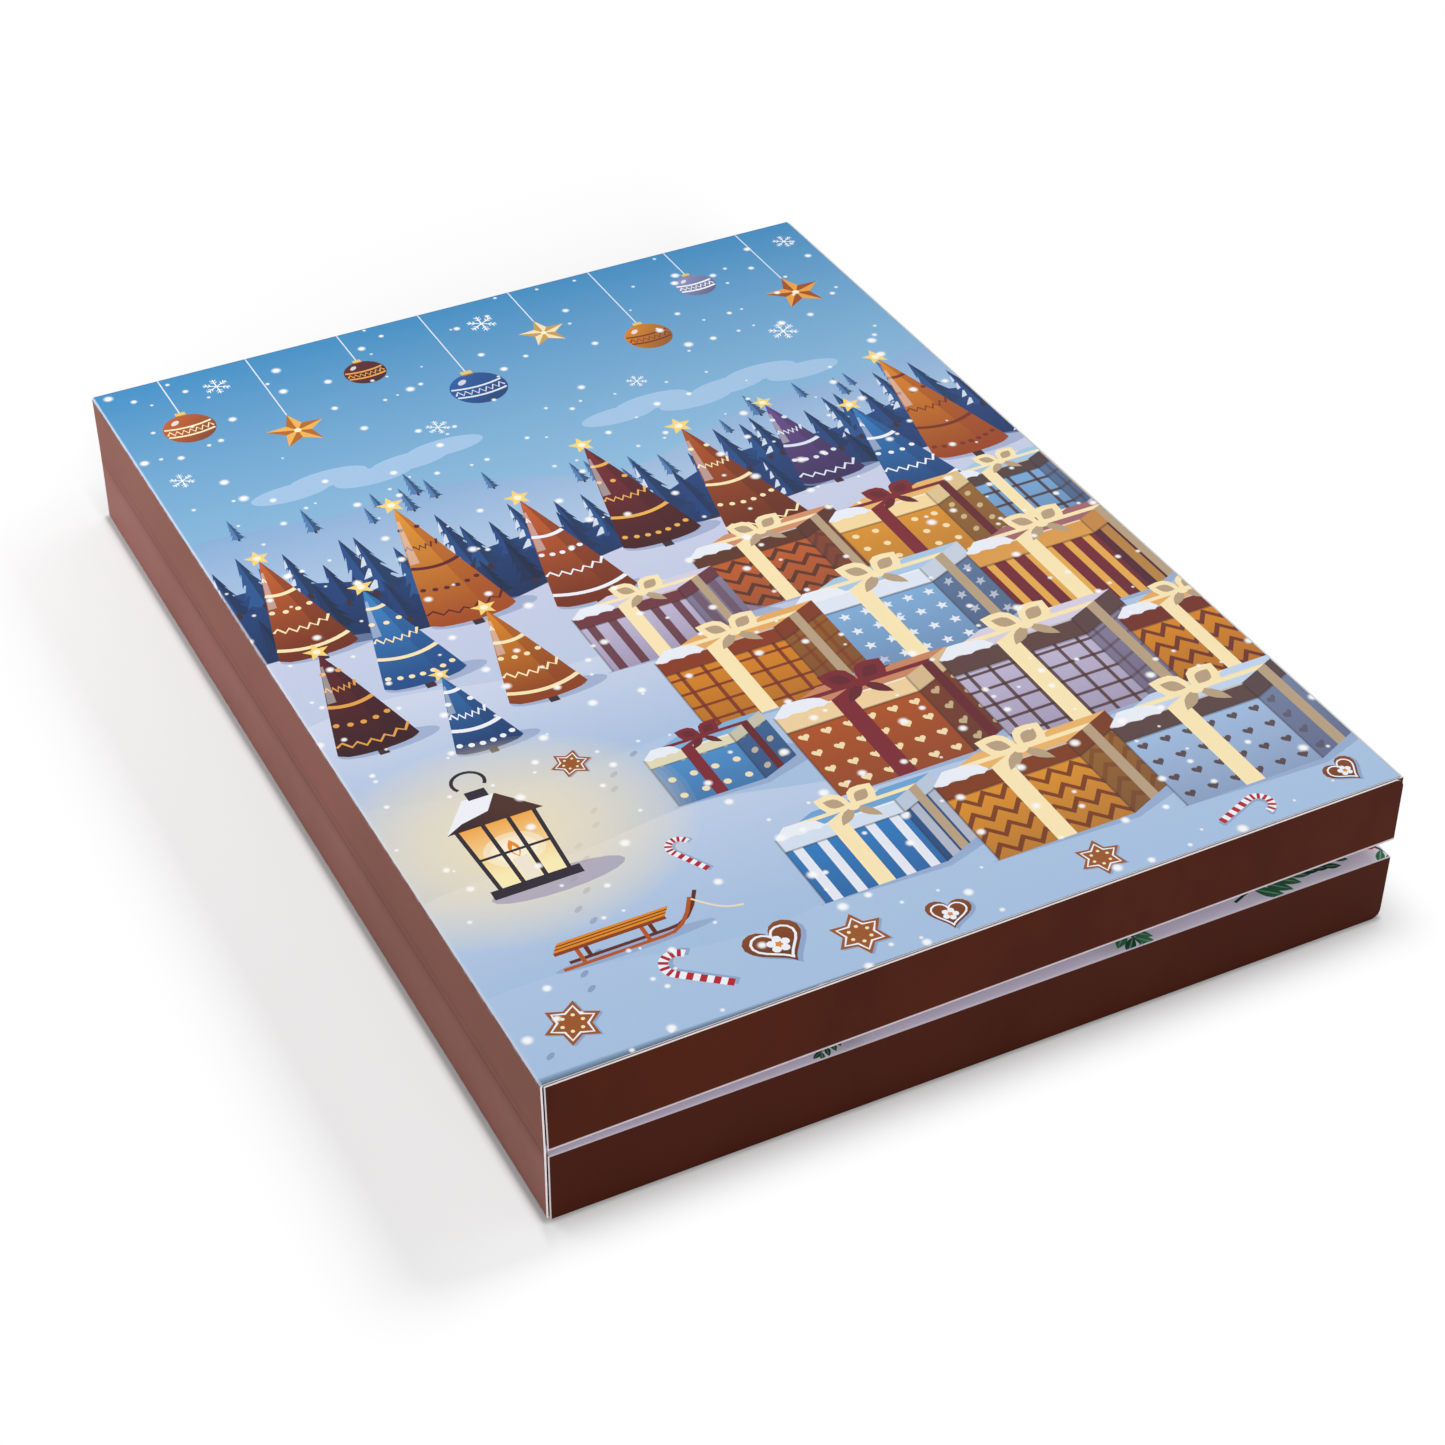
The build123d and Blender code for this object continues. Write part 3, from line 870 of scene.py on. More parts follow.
def bakedPiece(node, side, baked):
    # One gingerbread in place of its plain solid; its kind follows its place in the rows
    number = int(node.split("_")[1])
    draw = np.random.default_rng(number)
    loop, base, top = baseOutline(node, side)
    centre = (loop.min(0) + loop.max(0)) / 2
    column = int((centre[0] - book["faceX"]) / (book["faceWidth"] / 3))
    row = int((centre[1] - book["faceY"]) / (book["faceLength"] / 4))
    kind = cakes["order"][(row * 3 + column) % 4]
    if kind == "round":
        # The thin white wafer under it, a closed skin between two copies of its edge
        edge, thick = spaced(loop, 2.0), cakes["waferThickness"]
        wafer = np.array([np.column_stack((edge, np.full(len(edge), up)))
                          for up in (base, base + thick * 0.98)])
        loop, base = loop + inward(loop) * cakes["waferRim"], base + thick
    dough = Dough(loop, base, top, draw)
    if kind == "round":
        dough.add(wafer.reshape(-1, 3), skin(wafer), cakes["wafer"])
    make = {"round": roundCake, "star": starCake, "heart": heartCake, "tree": treeCake}[kind]
    make(dough, centre, draw, number)
    faces = dough.faces if side == "lower" else [face[::-1] for face in dough.faces]
    mesh = bpy.data.meshes.new(kind + "Gingerbread")
    mesh.from_pydata(intoHalf(side, *np.concatenate(dough.points).T), [], faces)
    mesh.materials.append(baked[0])
    mesh.polygons.foreach_set("material_index", dough.slots)
    mesh.polygons.foreach_set("use_smooth", [len(face) < 9 for face in faces])
    coat = mesh.color_attributes.new("coat", "FLOAT_COLOR", "POINT")
    coat.data.foreach_set("color", np.concatenate(dough.tints).astype(np.float32).ravel())
    piece = addPiece(f"{kind}Gingerbread{number:02d}", mesh, baked[1])
    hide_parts(node)
    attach(piece, side + "_half")


print("gingerbreads")
baked = doughMaterial(), toppingMaterial()
for side in ("lower", "upper"):
    for node in frame["record"]["behaviour"]["bodies"][side + "_half"]:
        if node.startswith("gingerbread"):
            bakedPiece(node, side, baked)


# Cover picture: ornaments over a winter wood, with a heap of parcels in the snow

cover = {
    "foldFrom": 0.9,                 # where the sheet starts to turn round the spine's fold
    "foldTo": -0.06,
    "printHeights": (0.04, 0.02),    # the print's upper and lower side above the board
    "roughness": 0.40,
    "sky": ("3888bd", "a2cce9"),     # at the top end, at the hills
    "farHill": ("86add6", "b6cce8"),
    "wood": ("1d4480", "12284f"),
    "snow": ("ccd2ea", "a6c1e2"),
    "shadow": "7f93bd",
    "biscuitShadow": "6f83b2",
    "line": "2e2026",
    "cream": "fde9b8",
    "white": "f3f5fc",
    "edge": "2f5f86",                # the darker line along the right and the far edge
    "ornaments": (                   # kind, across, along, size, colour, trim
        ("bauble", 22, 318, 8.5, "c8612a", "fde9b8"), ("star", 52, 301, 10, "f0b352", "b5661d"),
        ("bauble", 84, 324, 7, "5e1a22", "e7a24a"), ("bauble", 113, 298, 9.5, "1f5ea8", "dfe7f6"),
        ("star", 146, 320, 8.5, "f6e3b4", "c79a55"), ("bauble", 176, 302, 8, "e08a1e", "7a2a1c"),
        ("bauble", 205, 325, 7, "8f97c9", "f3f5fc"), ("star", 233, 305, 10.5, "e9a13b", "9c4a18"),
    ),
    "cones": (                       # across, along, height, width, colour, dark, trim, style
        (16, 188, 50, 24, "c8612a", "6d2a16", "fde9b8", 0),
        (190, 200, 46, 22, "6a4a8c", "3a2a5a", "dfe7f6", 1),
        (236, 194, 60, 27, "e08a1e", "99421a", "7a2a1c", 2),
        (62, 184, 62, 27, "e59a2f", "a34a1c", "5e1a22", 1),
        (128, 194, 56, 26, "7b2430", "3f1119", "f0b352", 2),
        (214, 180, 52, 25, "2f7fc4", "1a3f77", "f3f5fc", 0),
        (38, 162, 48, 25, "3b86c8", "1c4a86", "fde9b8", 2),
        (98, 176, 56, 26, "c9602b", "712d18", "f3f5fc", 0),
        (160, 184, 62, 28, "b4541f", "5f2415", "fde9b8", 1),
        (15, 140, 46, 24, "5e1a22", "34101a", "e7a24a", 1),
        (66, 140, 44, 24, "e08a1e", "8a3c18", "fde9b8", 0),
        (42, 126, 34, 20, "2f6fb0", "183a6e", "f3f5fc", 2),
    ),
    "parcels": (                     # across, along, width, height, depth, wall, trim, pattern
        (86, 140, 34, 28, 14, "c9bfdb", "5e1a22", "stripes"),
        (130, 148, 36, 32, 15, "c8612a", "4a2a22", "zigzag"),
        (176, 142, 34, 36, 15, "e59a2f", "fde9b8", "dots"),
        (218, 150, 30, 30, 13, "7fb3e2", "4a2a22", "grid"),
        (98, 104, 38, 34, 16, "e08a1e", "7a2a1c", "grid"),
        (146, 106, 42, 38, 17, "86b5e0", "f3f5fc", "stars"),
        (204, 104, 40, 40, 17, "7b2430", "f0b352", "stripes"),
        (76, 78, 26, 22, 12, "4d93cf", "fde9b8", "dots"),
        (116, 62, 42, 38, 17, "b4541f", "fde9b8", "hearts"),
        (170, 60, 44, 42, 18, "c9bfdb", "4a2a22", "grid"),
        (226, 60, 34, 36, 15, "e08a1e", "5e1a22", "zigzag"),
        (92, 26, 36, 28, 14, "2f7fc4", "f3f5fc", "stripes"),
        (140, 20, 42, 34, 17, "e5962a", "6d2a16", "zigzag"),
        (196, 16, 44, 38, 18, "a9c6ea", "4a2a22", "hearts"),
    ),
    "hearts": ((74, 18, 18, 0.2), (118, 8, 13, -0.3), (242, 9, 12, 0.35)),  # place, size, turn
    "stars": ((94, 12, 8, 0.4), (16, 16, 8, 0.1), (164, 9, 7, 0.3), (58, 108, 6, 0)),
    "canes": ((46, 20, 20, 0.9), (212, 11, 17, -1.2), (66, 62, 15, 0.5)),
    "crystals": ((38, 338, 4.5), (130, 335, 5), (217, 284, 5), (92, 282, 4), (160, 278, 3.5),
                 (10, 290, 4), (246, 338, 4)),
    "seed": 7,
    "snowfall": (
        {"cell": 18, "smallest": 1.1, "largest": 2.2, "share": 0.78, "strength": 0.95,
         "shift": (13, 7, 0)},
        {"cell": 15, "smallest": 0.6, "largest": 1.1, "share": 0.45, "strength": 0.85,
         "shift": (71, 33, 0)},
    ),
}


def between(first, second, share):
    # The colour part of the way from one code to another
    a, b = (np.array([int(code[i:i + 2], 16) for i in (0, 2, 4)]) for code in (first, second))
    return "".join(f"{round(v):02x}" for v in a + (b - a) * share)


def fir(art, x, y, height, colour, snow):
    # Four layers, each with a scalloped lower edge, lit on the left and darker on the right
    tree, dark = Motif(art, x, y, height), between(colour, "0a1428", 0.4)
    tree.paint(box2(-0.03, 0, 0.03, 0.2), "3a2530")
    t = np.linspace(-1, 1, 13)
    for k in range(4):
        reach, foot = 0.2 - 0.042 * k, 0.12 + 0.19 * k
        edge = np.column_stack((reach * t, foot + 0.03 * (np.cos(t * 3 * math.pi) - 1)))
        tip = (0, foot + (0.34 if k < 3 else 0.31))
        tree.paint((*edge[:7], tip), colour)
        tree.paint((*edge[6:], tip), dark)
        if snow:
            tree.paint(((-reach, foot), (-reach * 0.45, foot + 0.02), (-reach * 0.2, foot + 0.19),
                        (-reach * 0.62, foot + 0.10)), "dfe8f7", 0.9)


def cone(art, x, y, height, width, colour, dark, trim, style):
    # A rounded cone with garlands; its side is the width times what is left of the height
    tree, flat = Motif(art, x, y, width, height), width / height

    def footAt(u):
        # The lower edge, bowed as half an ellipse, from -1 at its left to 1 at its right
        return np.column_stack((u / 2, -0.11 * flat * np.sqrt(1 - u ** 2)))

    t = np.linspace(0, 1, 9)
    reach = (1 - t) ** 0.92 / 2
    right = np.column_stack((reach, t))[::-1]
    tree.paint(oval(0.12, -0.03 * flat, 0.62, 0.15 * flat), cover["shadow"], 0.55)
    tree.paint(box2(-0.06, -0.2 * flat, 0.06, 0), "3a2530")
    tree.paint((*np.column_stack((-reach, t)), *right, *footAt(np.linspace(1, -1, 10)[1:-1])),
               colour, 1, ((0, 1), (0, 0), dark))
    tree.paint((*right, *footAt(np.array((0.9, 0.6, 0.35))),
                *np.column_stack((reach * 0.35, t))), dark, 0.55)
    for k, share in enumerate((0.10, 0.29, 0.47, 0.64, 0.80)):
        half, kind = (1 - share) ** 0.92 / 2, (style + k) % 3
        dots = max(2, round(half * width / 1.6))
        s = np.linspace(-0.86, 0.86, dots) if kind == 2 else np.linspace(-1, 1, 12)
        sag = np.column_stack((half * s, share - half * flat * 0.24 * (1 - s ** 2)))
        if kind == 2:
            for place in tree.place(sag):
                art.paint(oval(*place, 0.95, count=8), trim)
        else:
            sag[:, 1] += kind * 1.1 / height * np.where(np.arange(12) % 2, 1, -1)
            tree.band(sag, (1.5, 0.9)[kind], trim)
    art.paint(star(x, y + height + 1.5, width * 0.17), "fbd87a")
    art.paint(oval(x, y + height + 1.5, width * 0.05, count=8), "fff6d8")
    outer, inner = (np.column_stack((-reach * share, t)) for share in (0.96, 0.55))
    tree.paint((*outer[4:8], *inner[7:3:-1]), "ffffff", 0.28)


def unitPattern(kind, width, height):
    # Shapes of one pattern within a unit square that will be drawn width by height
    nx, ny = max(2, round(width / 7)), max(2, round(height / 7))
    spots = {"dots": oval(0, 0, 1.15, count=10), "stars": star(0, 0, 2.0),
             "hearts": heart(0, 0, 3.6, count=16)}
    if kind in spots:
        return [spots[kind] / (width, height) + ((i + 0.5) / nx, (j + 0.5) / ny)
                for i in range(nx) for j in range(ny)]
    if kind == "stripes":
        return [box2((i + 0.3) / nx, 0, (i + 0.7) / nx, 1) for i in range(nx)]
    if kind == "zigzag":
        t = np.linspace(0, 1, 2 * nx + 1)
        rise = np.where(np.arange(2 * nx + 1) % 2, 0.3, -0.3) / ny
        rows = [np.column_stack((t, (j + 0.5) / ny + rise)) for j in range(ny)]
        return [(*(row + (0, 0.16 / ny)), *(row - (0, 0.16 / ny))[::-1]) for row in rows]
    return [box2((i + 0.42) / nx, 0, (i + 0.58) / nx, 1) for i in range(nx)] + [
        box2(0, (j + 0.42) / ny, 1, (j + 0.58) / ny) for j in range(ny)]


def parcel(art, x, y, width, height, depth, wall, trim, kind):
    # A box seen from its front and its right side, with lid, ribbon and bow
    slope, dark = depth * 0.42, between(wall, "1a1430", 0.38)
    art.paint(((x - 2, y), (x + width, y - 2), (x + width + depth + 9, y + slope - 1),
               (x + width + depth, y + slope + 6)), cover["shadow"], 0.5)
    front = (x, y), (width, 0), (0, height)
    flank = (x + width, y), (depth, slope), (0, height)
    lid = (x, y + height), (width, 0), (depth, slope)
    for face, colour, strength, wide in ((front, wall, 1.0, width), (flank, dark, 0.55, depth)):
        place = mapped(box2(0, 0, 1, 1), *face)
        art.paint(place, colour, 1, (place[3], place[0], between(colour, "20183a", 0.22)))
        for shape in unitPattern(kind, wide, height):
            art.paint(mapped(shape, *face), trim, 0.9 * strength)
        art.paint(mapped(box2(0, 0.80, 1, 1), *face), between(trim, colour, 0.15 / strength))
        art.paint(mapped(box2(0, 0.785, 1, 0.81), *face), cover["line"], 0.5)
    art.paint(mapped(box2(0, 0, 1, 1), *lid), between(wall, "ffffff", 0.30))
    art.paint(box2(x, y + height - 0.7, x + width, y + height), "ffffff", 0.5)
    ribbon = cover["cream"] if trim != cover["cream"] else "7b2430"
    edge = between(ribbon, "3a1c20", 0.35)
    for face, shape, tone in ((front, (0.43, 0, 0.57, 1), ribbon), (flank, (0.4, 0, 0.6, 1), edge),
                              (lid, (0.43, 0, 0.57, 1), ribbon), (lid, (0, 0.38, 1, 0.62), ribbon)):
        art.paint(mapped(box2(*shape), *face), tone)
    bow = Motif(art, x + width / 2 + depth / 2, y + height + slope / 2, width * 0.24)
    for turn in (2.5, 0.65):
        bow.paint(leaf(0, 0, 1.25, 0.95, turn), ribbon)
        bow.paint(leaf(*around(1, 0.25, turn)[0], 0.7, 0.45, turn), edge)
    for turn in (3.9, 5.4):
        bow.paint(leaf(0, 0, 1, 0.36, turn), edge)
    bow.paint(oval(0, 0, 0.22, 0.2, count=10), ribbon)
    t = np.linspace(0, 1, 9)
    drape = np.column_stack((width * 0.36 * t, -1.3 * np.abs(np.sin(t * 2.5 * math.pi))))
    back = np.column_stack((width * 0.36 * t + depth * 0.30 * (1 - t * 0.6),
                            slope * 0.62 * np.sqrt(1 - t ** 3)))
    art.paint(np.concatenate((drape, back[::-1])) + (x, y + height), "eef2fb")
    for foot in (x, x + width):
        art.paint(box2(foot - 0.35, y, foot + 0.35, y + height), cover["line"], 0.45)


def bauble(art, x, y, size, colour, trim):
    # A shaded disc; its bands and zigzag sag by a share of one minus the way across, squared
    ball, dark = Motif(art, x, y, size), between(colour, "140c20", 0.5)
    ball.paint(oval(0, 0, 1, count=32), colour, 1, ((-1, 1), (1, -1), dark))
    t = np.linspace(-0.94, 0.94, 15)
    bow = -0.16 * (1 - t ** 2)
    for level in (0.26, -0.30):
        ball.band(np.column_stack((math.sqrt(1 - level ** 2) * t, level + bow)), 0.9, trim)
    wave = bow - 0.03 + 0.13 * np.where(np.arange(15) % 2, 1, -1)
    ball.band(np.column_stack((0.95 * t, wave)), 0.7, trim)
    ball.paint(oval(-0.38, 0.56, 0.2, 0.12, 0.7, 12), "ffffff", 0.65)
    ball.paint(box2(-0.2, 0.93, 0.2, 1.2), "e9c36a")
    ball.paint(box2(-0.2, 0.93, 0.2, 1.0), "a9772c")


def paperStar(art, x, y, size, colour, dark):
    # Ten facets, light and dark by turns
    tips = star(x, y, size)
    for k in range(10):
        art.paint((tips[k], tips[(k + 1) % 10], (x, y)), colour if k % 2 else dark)
    art.paint(oval(x, y, size * 0.12, count=10), "fff4cf")


def snowflake(art, x, y, size, colour="ffffff"):
    # Six arms at even turns, each with two pairs of slanting branches
    for k in range(6):
        arm = Motif(art, x, y, size, turn=math.pi / 6 + k * math.pi / 3)
        arm.band(((0, 0), (1, 0)), size * 0.09, colour, 0.9)
        for place, sign in ((0.45, -1), (0.45, 1), (0.7, -1), (0.7, 1)):
            arm.band(((place, 0), (place + 0.2, sign * 0.22)), size * 0.07, colour, 0.9)


def glow(art, x, y, size, colour, strength, steps=34):
    # Ever smaller ovals, each thinly painted
    for reach in size * np.arange(steps, 0, -1) / steps:
        art.paint(oval(x, y, reach, reach * 0.8, count=36), colour, strength / steps)


def lantern(art, x, y, height):
    # A glow, a tapered glass body with a candle and bars, a snowy roof and a ring
    width, metal = height * 0.42, "2a2230"
    lamp = Motif(art, x, y, width, height)
    glow(art, x, y + height * 0.42, height * 1.05, cover["cream"], 1.6)
    lamp.paint(oval(0.25, 0, 0.9, 0.0924), "8a83b0", 0.6)
    lamp.paint(box2(-0.6, 0, 0.6, 0.07), metal)
    lamp.paint(((-0.45, 0.07), (0.45, 0.07), (0.52, 0.58), (-0.52, 0.58)), "fff0b8", 1,
               ((0, 0.15), (0, 0.6), "f2a53c"))
    glow(art, x, y + height * 0.33, height * 0.17, "fffbe6", 1.8, 4)
    lamp.paint(box2(-0.1, 0.07, 0.1, 0.26), "f4ead6")
    lamp.paint(leaf(0, 0.26, 0.15, 0.15, math.pi / 2), "f08a24")
    lamp.paint(leaf(0, 0.27, 0.09, 0.08, math.pi / 2), "fff6cf")
    for share in (-1, -0.33, 0.33, 1):
        lamp.band(((share * 0.46, 0.05), (share * 0.53, 0.60)), width * 0.06, metal)
    lamp.band(((-0.49, 0.32), (0.49, 0.32)), width * 0.045, metal)
    lamp.paint(((-0.66, 0.58), (0.66, 0.58), (0.22, 0.80), (-0.22, 0.80)), "4a2a22", 1,
               ((-0.22, 0.80), (-0.66, 0.58), "2a1620"))
    lamp.paint(((-0.66, 0.58), (-0.40, 0.64), (0, 0.68), (0.2, 0.80), (-0.22, 0.82)),
               cover["white"])
    lamp.paint(box2(-0.14, 0.80, 0.14, 0.87), metal)
    t = np.linspace(-0.6, math.pi + 0.6, 16)
    lamp.band(np.column_stack((0.22 * np.cos(t), 0.95 + 0.084 * np.sin(t))), width * 0.05, metal)


def sledge(art, x, y, length):
    # Two bowed runners, posts, and slats along the top
    sled, wood, dark = Motif(art, x, y, length), "b4541f", "5f2415"
    sled.paint(oval(0.5, 0, 0.56, 0.05), cover["shadow"], 0.5)
    t = np.linspace(0, 1, 14)
    curl = np.column_stack((t, 0.26 * np.clip((t - 0.72) / 0.28, 0, 1) ** 2))
    for shift, tone in (((0.06, 0.048), dark), ((0, 0), wood)):
        sled.band(curl + shift, length * 0.028, tone)
        for place in (0.15, 0.6):
            sled.band(np.array(((place, 0), (place, 0.17))) + shift, length * 0.03, tone)
    sled.paint(((0, 0.17), (0.78, 0.17), (0.84, 0.248), (0.06, 0.248)), "e08a1e")
    for share in (0.33, 0.66):
        slat = np.array(((0, 0.17), (0.78, 0.17))) + (0.06 * share, 0.078 * share)
        sled.band(slat, 0.35, dark)
    sled.paint(box2(0, 0.14, 0.78, 0.17), "8a3c18")
    rope = np.column_stack((1 + 0.28 * t, 0.24 - 0.2 * t - 0.05 * np.sin(math.pi * t)))
    sled.band(rope, 0.6, "f6e3b4")


def icedHeart(art, x, y, size, turn):
    # The heart curve three times: shadow, biscuit and piped line, with a ring of dots
    biscuit = Motif(art, x, y, size)
    biscuit.paint(heart(0.05, -0.06, 1.02, turn), cover["biscuitShadow"], 0.5)
    biscuit.paint(heart(0, 0, 1, turn), "8a4a22", 1, ((0, 0.5), (0, -0.5), "5f2c14"))
    art.stroke(heart(x, y, size * 0.76, turn), size * 0.04, cover["white"], True)
    for dot in around(5, 0.11, turn):
        biscuit.paint(oval(*dot, 0.07, count=8), cover["white"])
    biscuit.paint(oval(0, 0, 0.05, count=8), "e08a1e")


def icedStar(art, x, y, size, turn):
    # The same with a star of six blunt points
    biscuit = Motif(art, x, y, size)
    biscuit.paint(star(0.06, -0.07, 1, 0.6, 6, turn), cover["biscuitShadow"], 0.5)
    biscuit.paint(star(0, 0, 1, 0.6, 6, turn), "9a5626")
    art.stroke(star(x, y, size * 0.76, 0.62, 6, turn), size * 0.08, cover["white"], True)
    for dot in around(6, 0.36, turn):
        biscuit.paint(oval(*dot, 0.07, count=8), cover["cream"])


def cane(art, x, y, size, turn):
    # A hooked stick: a straight stem and half a circle, with slanting stripes
    t = np.linspace(0, math.pi * 1.05, 14)
    stem = np.column_stack((np.zeros(9), np.linspace(-0.75, -0.05, 9)))
    path = np.array((*stem, *np.column_stack((0.2 - 0.2 * np.cos(t), 0.2 * np.sin(t)))))
    stick = Motif(art, x, y, size, turn=turn)
    stick.band(path + (0.04, -0.05), size * 0.13, cover["biscuitShadow"], 0.5)
    stick.band(path, size * 0.13, cover["white"])
    for k in range(0, len(path) - 1, 2):
        stick.band(path[k:k + 2], size * 0.13, "b3202c")


def coverPicture():
    # Painted from far to near: sky, hills, woods and snow, the cones and parcels by their place
    # along the sheet, the small things in the foreground, then what hangs over it all
    art = Canvas()
    width, length, draw = book["width"], book["length"], np.random.default_rng(cover["seed"])
    low, high = -3, width + 3

    def hill(base, waves, tone, last, top, foot, opacity=1.0):
        # Ground whose upper edge is a sum of sines, as (height, length, phase) for each
        x = np.linspace(low, high, 60)
        y = base + sum(rise * np.sin(x / run + phase) for rise, run, phase in waves)
        art.paint((*np.column_stack((x, y)), (high, -5), (low, -5)), tone, opacity,
                  ((0, top), (0, foot), last))
        return x, y

    art.paint(box2(low, 190, high, length + 3), cover["sky"][0], 1,
              ((0, length), (0, 190), cover["sky"][1]))
    for centre, rise, count in ((70, 268, 5), (185, 262, 6)):
        for k in range(count):
            x = centre + (k - count / 2) * 13
            art.paint(oval(x, rise + 3 * math.sin(k * 2.1), 13, 4.5), "a3c5e6")
    x, y = hill(246, ((9, 34, 0.6), (4, 15, 2.0)), *cover["farHill"], 256, 205)
    for k in range(22):
        at = int(draw.integers(2, 58))
        fir(art, x[at], y[at] - 3 - 9 * draw.random(), 9 + 6 * draw.random(), "4f7db4", False)
    x, y = hill(219, ((8, 41, 2.6), (3, 12, 0.4)), *cover["wood"], 228, 180)
    for k in range(34):
        at = 1 + round(k * 57 / 33)
        tone = between("1b3c74", "2a5f9c", draw.random() * 0.7)
        fir(art, x[at], y[at] - 7 - 6 * draw.random(), 20 + 15 * draw.random(), tone, k % 3 == 0)
    for k in range(26):
        fir(art, 4 + k * 10 + 4 * draw.random(), 188 + 9 * draw.random(), 20 + 9 * draw.random(),
            between(cover["wood"][1], cover["wood"][0], draw.random()), k % 4 == 1)
    hill(192, ((7, 52, 4.1), (2.5, 17, 1.0)), *cover["snow"], 200, 40)
    for base, tone, waves in ((150, "dde2f3", ((6, 38, 1.2), (2, 13, 0))),
                              (112, "bccfeb", ((7, 47, 3.0), (2, 16, 2))),
                              (70, "cfdaf0", ((6, 43, 0.2), (2, 12, 1))),
                              (30, "b3cbe8", ((4, 37, 2.2), (2, 14, 0)))):
        hill(base, waves, tone, cover["snow"][1], base + 6, base - 40, 0.55)
    rows = [(cone, values) for values in cover["cones"]]
    rows += [(parcel, values) for values in cover["parcels"]]
    for make, values in sorted(rows, key=lambda row: -row[1][1]):
        make(art, *values)
    for k in range(18):
        x, y = 8 + 62 * k / 17 + 5 * math.sin(k / 17 * 7), 8 + 96 * k / 17
        art.paint(oval(x + (1.6 if k % 2 else -1.6), y, 1.5, 0.8, 0.6, 10), cover["shadow"], 0.75)
    lantern(art, 30, 66, 50)
    sledge(art, 22, 34, 40)
    for make, places in ((icedHeart, "hearts"), (icedStar, "stars"), (cane, "canes"),
                         (snowflake, "crystals")):
        for values in cover[places]:
            make(art, *values)
    for kind, x, y, size, colour, trim in cover["ornaments"]:
        art.paint(box2(x - 0.22, y + size, x + 0.22, 352), "e6eef9", 0.9)
        (bauble if kind == "bauble" else paperStar)(art, x, y, size, colour, trim)
    art.paint(box2(width - 0.15, -1, high, length + 3), cover["edge"], 0.3)
    art.paint(box2(low, length - 0.35, high, length + 3), cover["edge"], 0.55)
    # Painted shade along the front edge, where the cover bows down over the flap: soft dark layers
    # widest by the spine, and a thin dark line at the edge
    for k in range(6):
        reach, end = 2.5 - 0.38 * k, 118 - 9 * k
        art.paint(((low, -1), (end, -1), (end, 0.05), (46, reach * 0.62), (low, reach)),
                  "2f4f6d", 0.2)
    art.paint(box2(low, -1, high, 0.2), "34424f", 0.6)
    art.region("sheet", box2(cover["foldTo"], 0, width, length))
    for place in np.linspace(cover["foldTo"], cover["foldFrom"], 6)[1:]:
        art.region(f"fold{place:.2f}", box2(cover["foldTo"] - 1, -1, place, length + 1))
    return art.flatten(cover["snow"][1])


def ontoCover(sheet, height):
    # Flat beyond the fold, and round the fold's radius nearer the spine
    radius, start = book["foldRadius"], cover["foldFrom"]
    angle = np.clip((start - sheet[:, 0]) / radius, 0, None)
    across = np.where(angle > 0, start - (radius + height) * np.sin(angle), sheet[:, 0])
    return intoHalf("upper", across, sheet[:, 1], radius - (radius + height) * np.cos(angle))


print("cover picture")
picture = coverPicture()
print("triangles in the cover picture", int(picture["masks"]["sheet"].sum()))
coverInk = printMaterial("coverInk", cover["roughness"], cover["snowfall"])
coverSheet = printedLayer("coverPrint", picture, picture["masks"]["sheet"], ontoCover,
                          cover["printHeights"], coverInk)
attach(coverSheet, "upper_half")


# Inner pages: a lilac ground with evergreen twigs, and a numbered plate on each door

page = {
    "ground": "ebe3f0",
    "groundTo": "e3dbea",
    "edgeInset": 0.3,
    "doorGap": 0.2,                  # between a door and its opening
    "printHeights": (0.027, 0.012),  # as on the cover
    "roughness": 0.50,
    "leaves": ("1f5238", "2c6b45", "17402f", "3b7d54"),
    "berry": "b3202c",
    "plates": ("7b2430", "c8612a", "1f5ea8", "2c6b45", "5e1a22", "e08a1e"),
    "plateShade": "1c1020",
    "number": "fdf3dc",
    "numberSize": 17.0,
    "seed": 24,
    "fold": {"depth": 0.34, "proud": 0.03, "lap": 0.02, "short": 0.05},  # a door's fold strip
    "frontTwigs": ((204, 3.2, 30, 0.06), (234, 4.5, 17, 0.3)),  # across, along, length, turn
}


def twig(art, x, y, length, turn, draw, berries=3):
    # A bowed stem with pairs of pointed leaves, and berries at its foot
    tones, t = page["leaves"], np.linspace(0, 1, 9)
    sprig = Motif(art, x, y, length, turn=turn)
    stem = np.column_stack((t, 0.10 * np.sin(math.pi * t)))
    sprig.band(stem, 0.9, tones[2], ends=0.3)
    for k in range(2, 9):
        for sign in (-1, 1):
            tone, size = tones[int(draw.integers(0, 4))], 0.36 - 0.022 * k
            spread = sign * (0.95 - 0.07 * k) + draw.uniform(-0.1, 0.1)
            sprig.paint(leaf(*stem[k], size, size * 0.42, spread, 8), tone)
            sprig.paint(leaf(*stem[k], size * 0.9, size * 0.07, spread, 4),
                        between(tone, "dfeee2", 0.45))
    for k in range(berries):
        bx, by = around(1, 1.9, turn + 2.1 * k)[0] + (x, y)
        art.paint(oval(bx, by, 1.5, count=12), page["berry"])
        art.paint(oval(bx - 0.45, by + 0.5, 0.4, count=7), "f7c9c4")


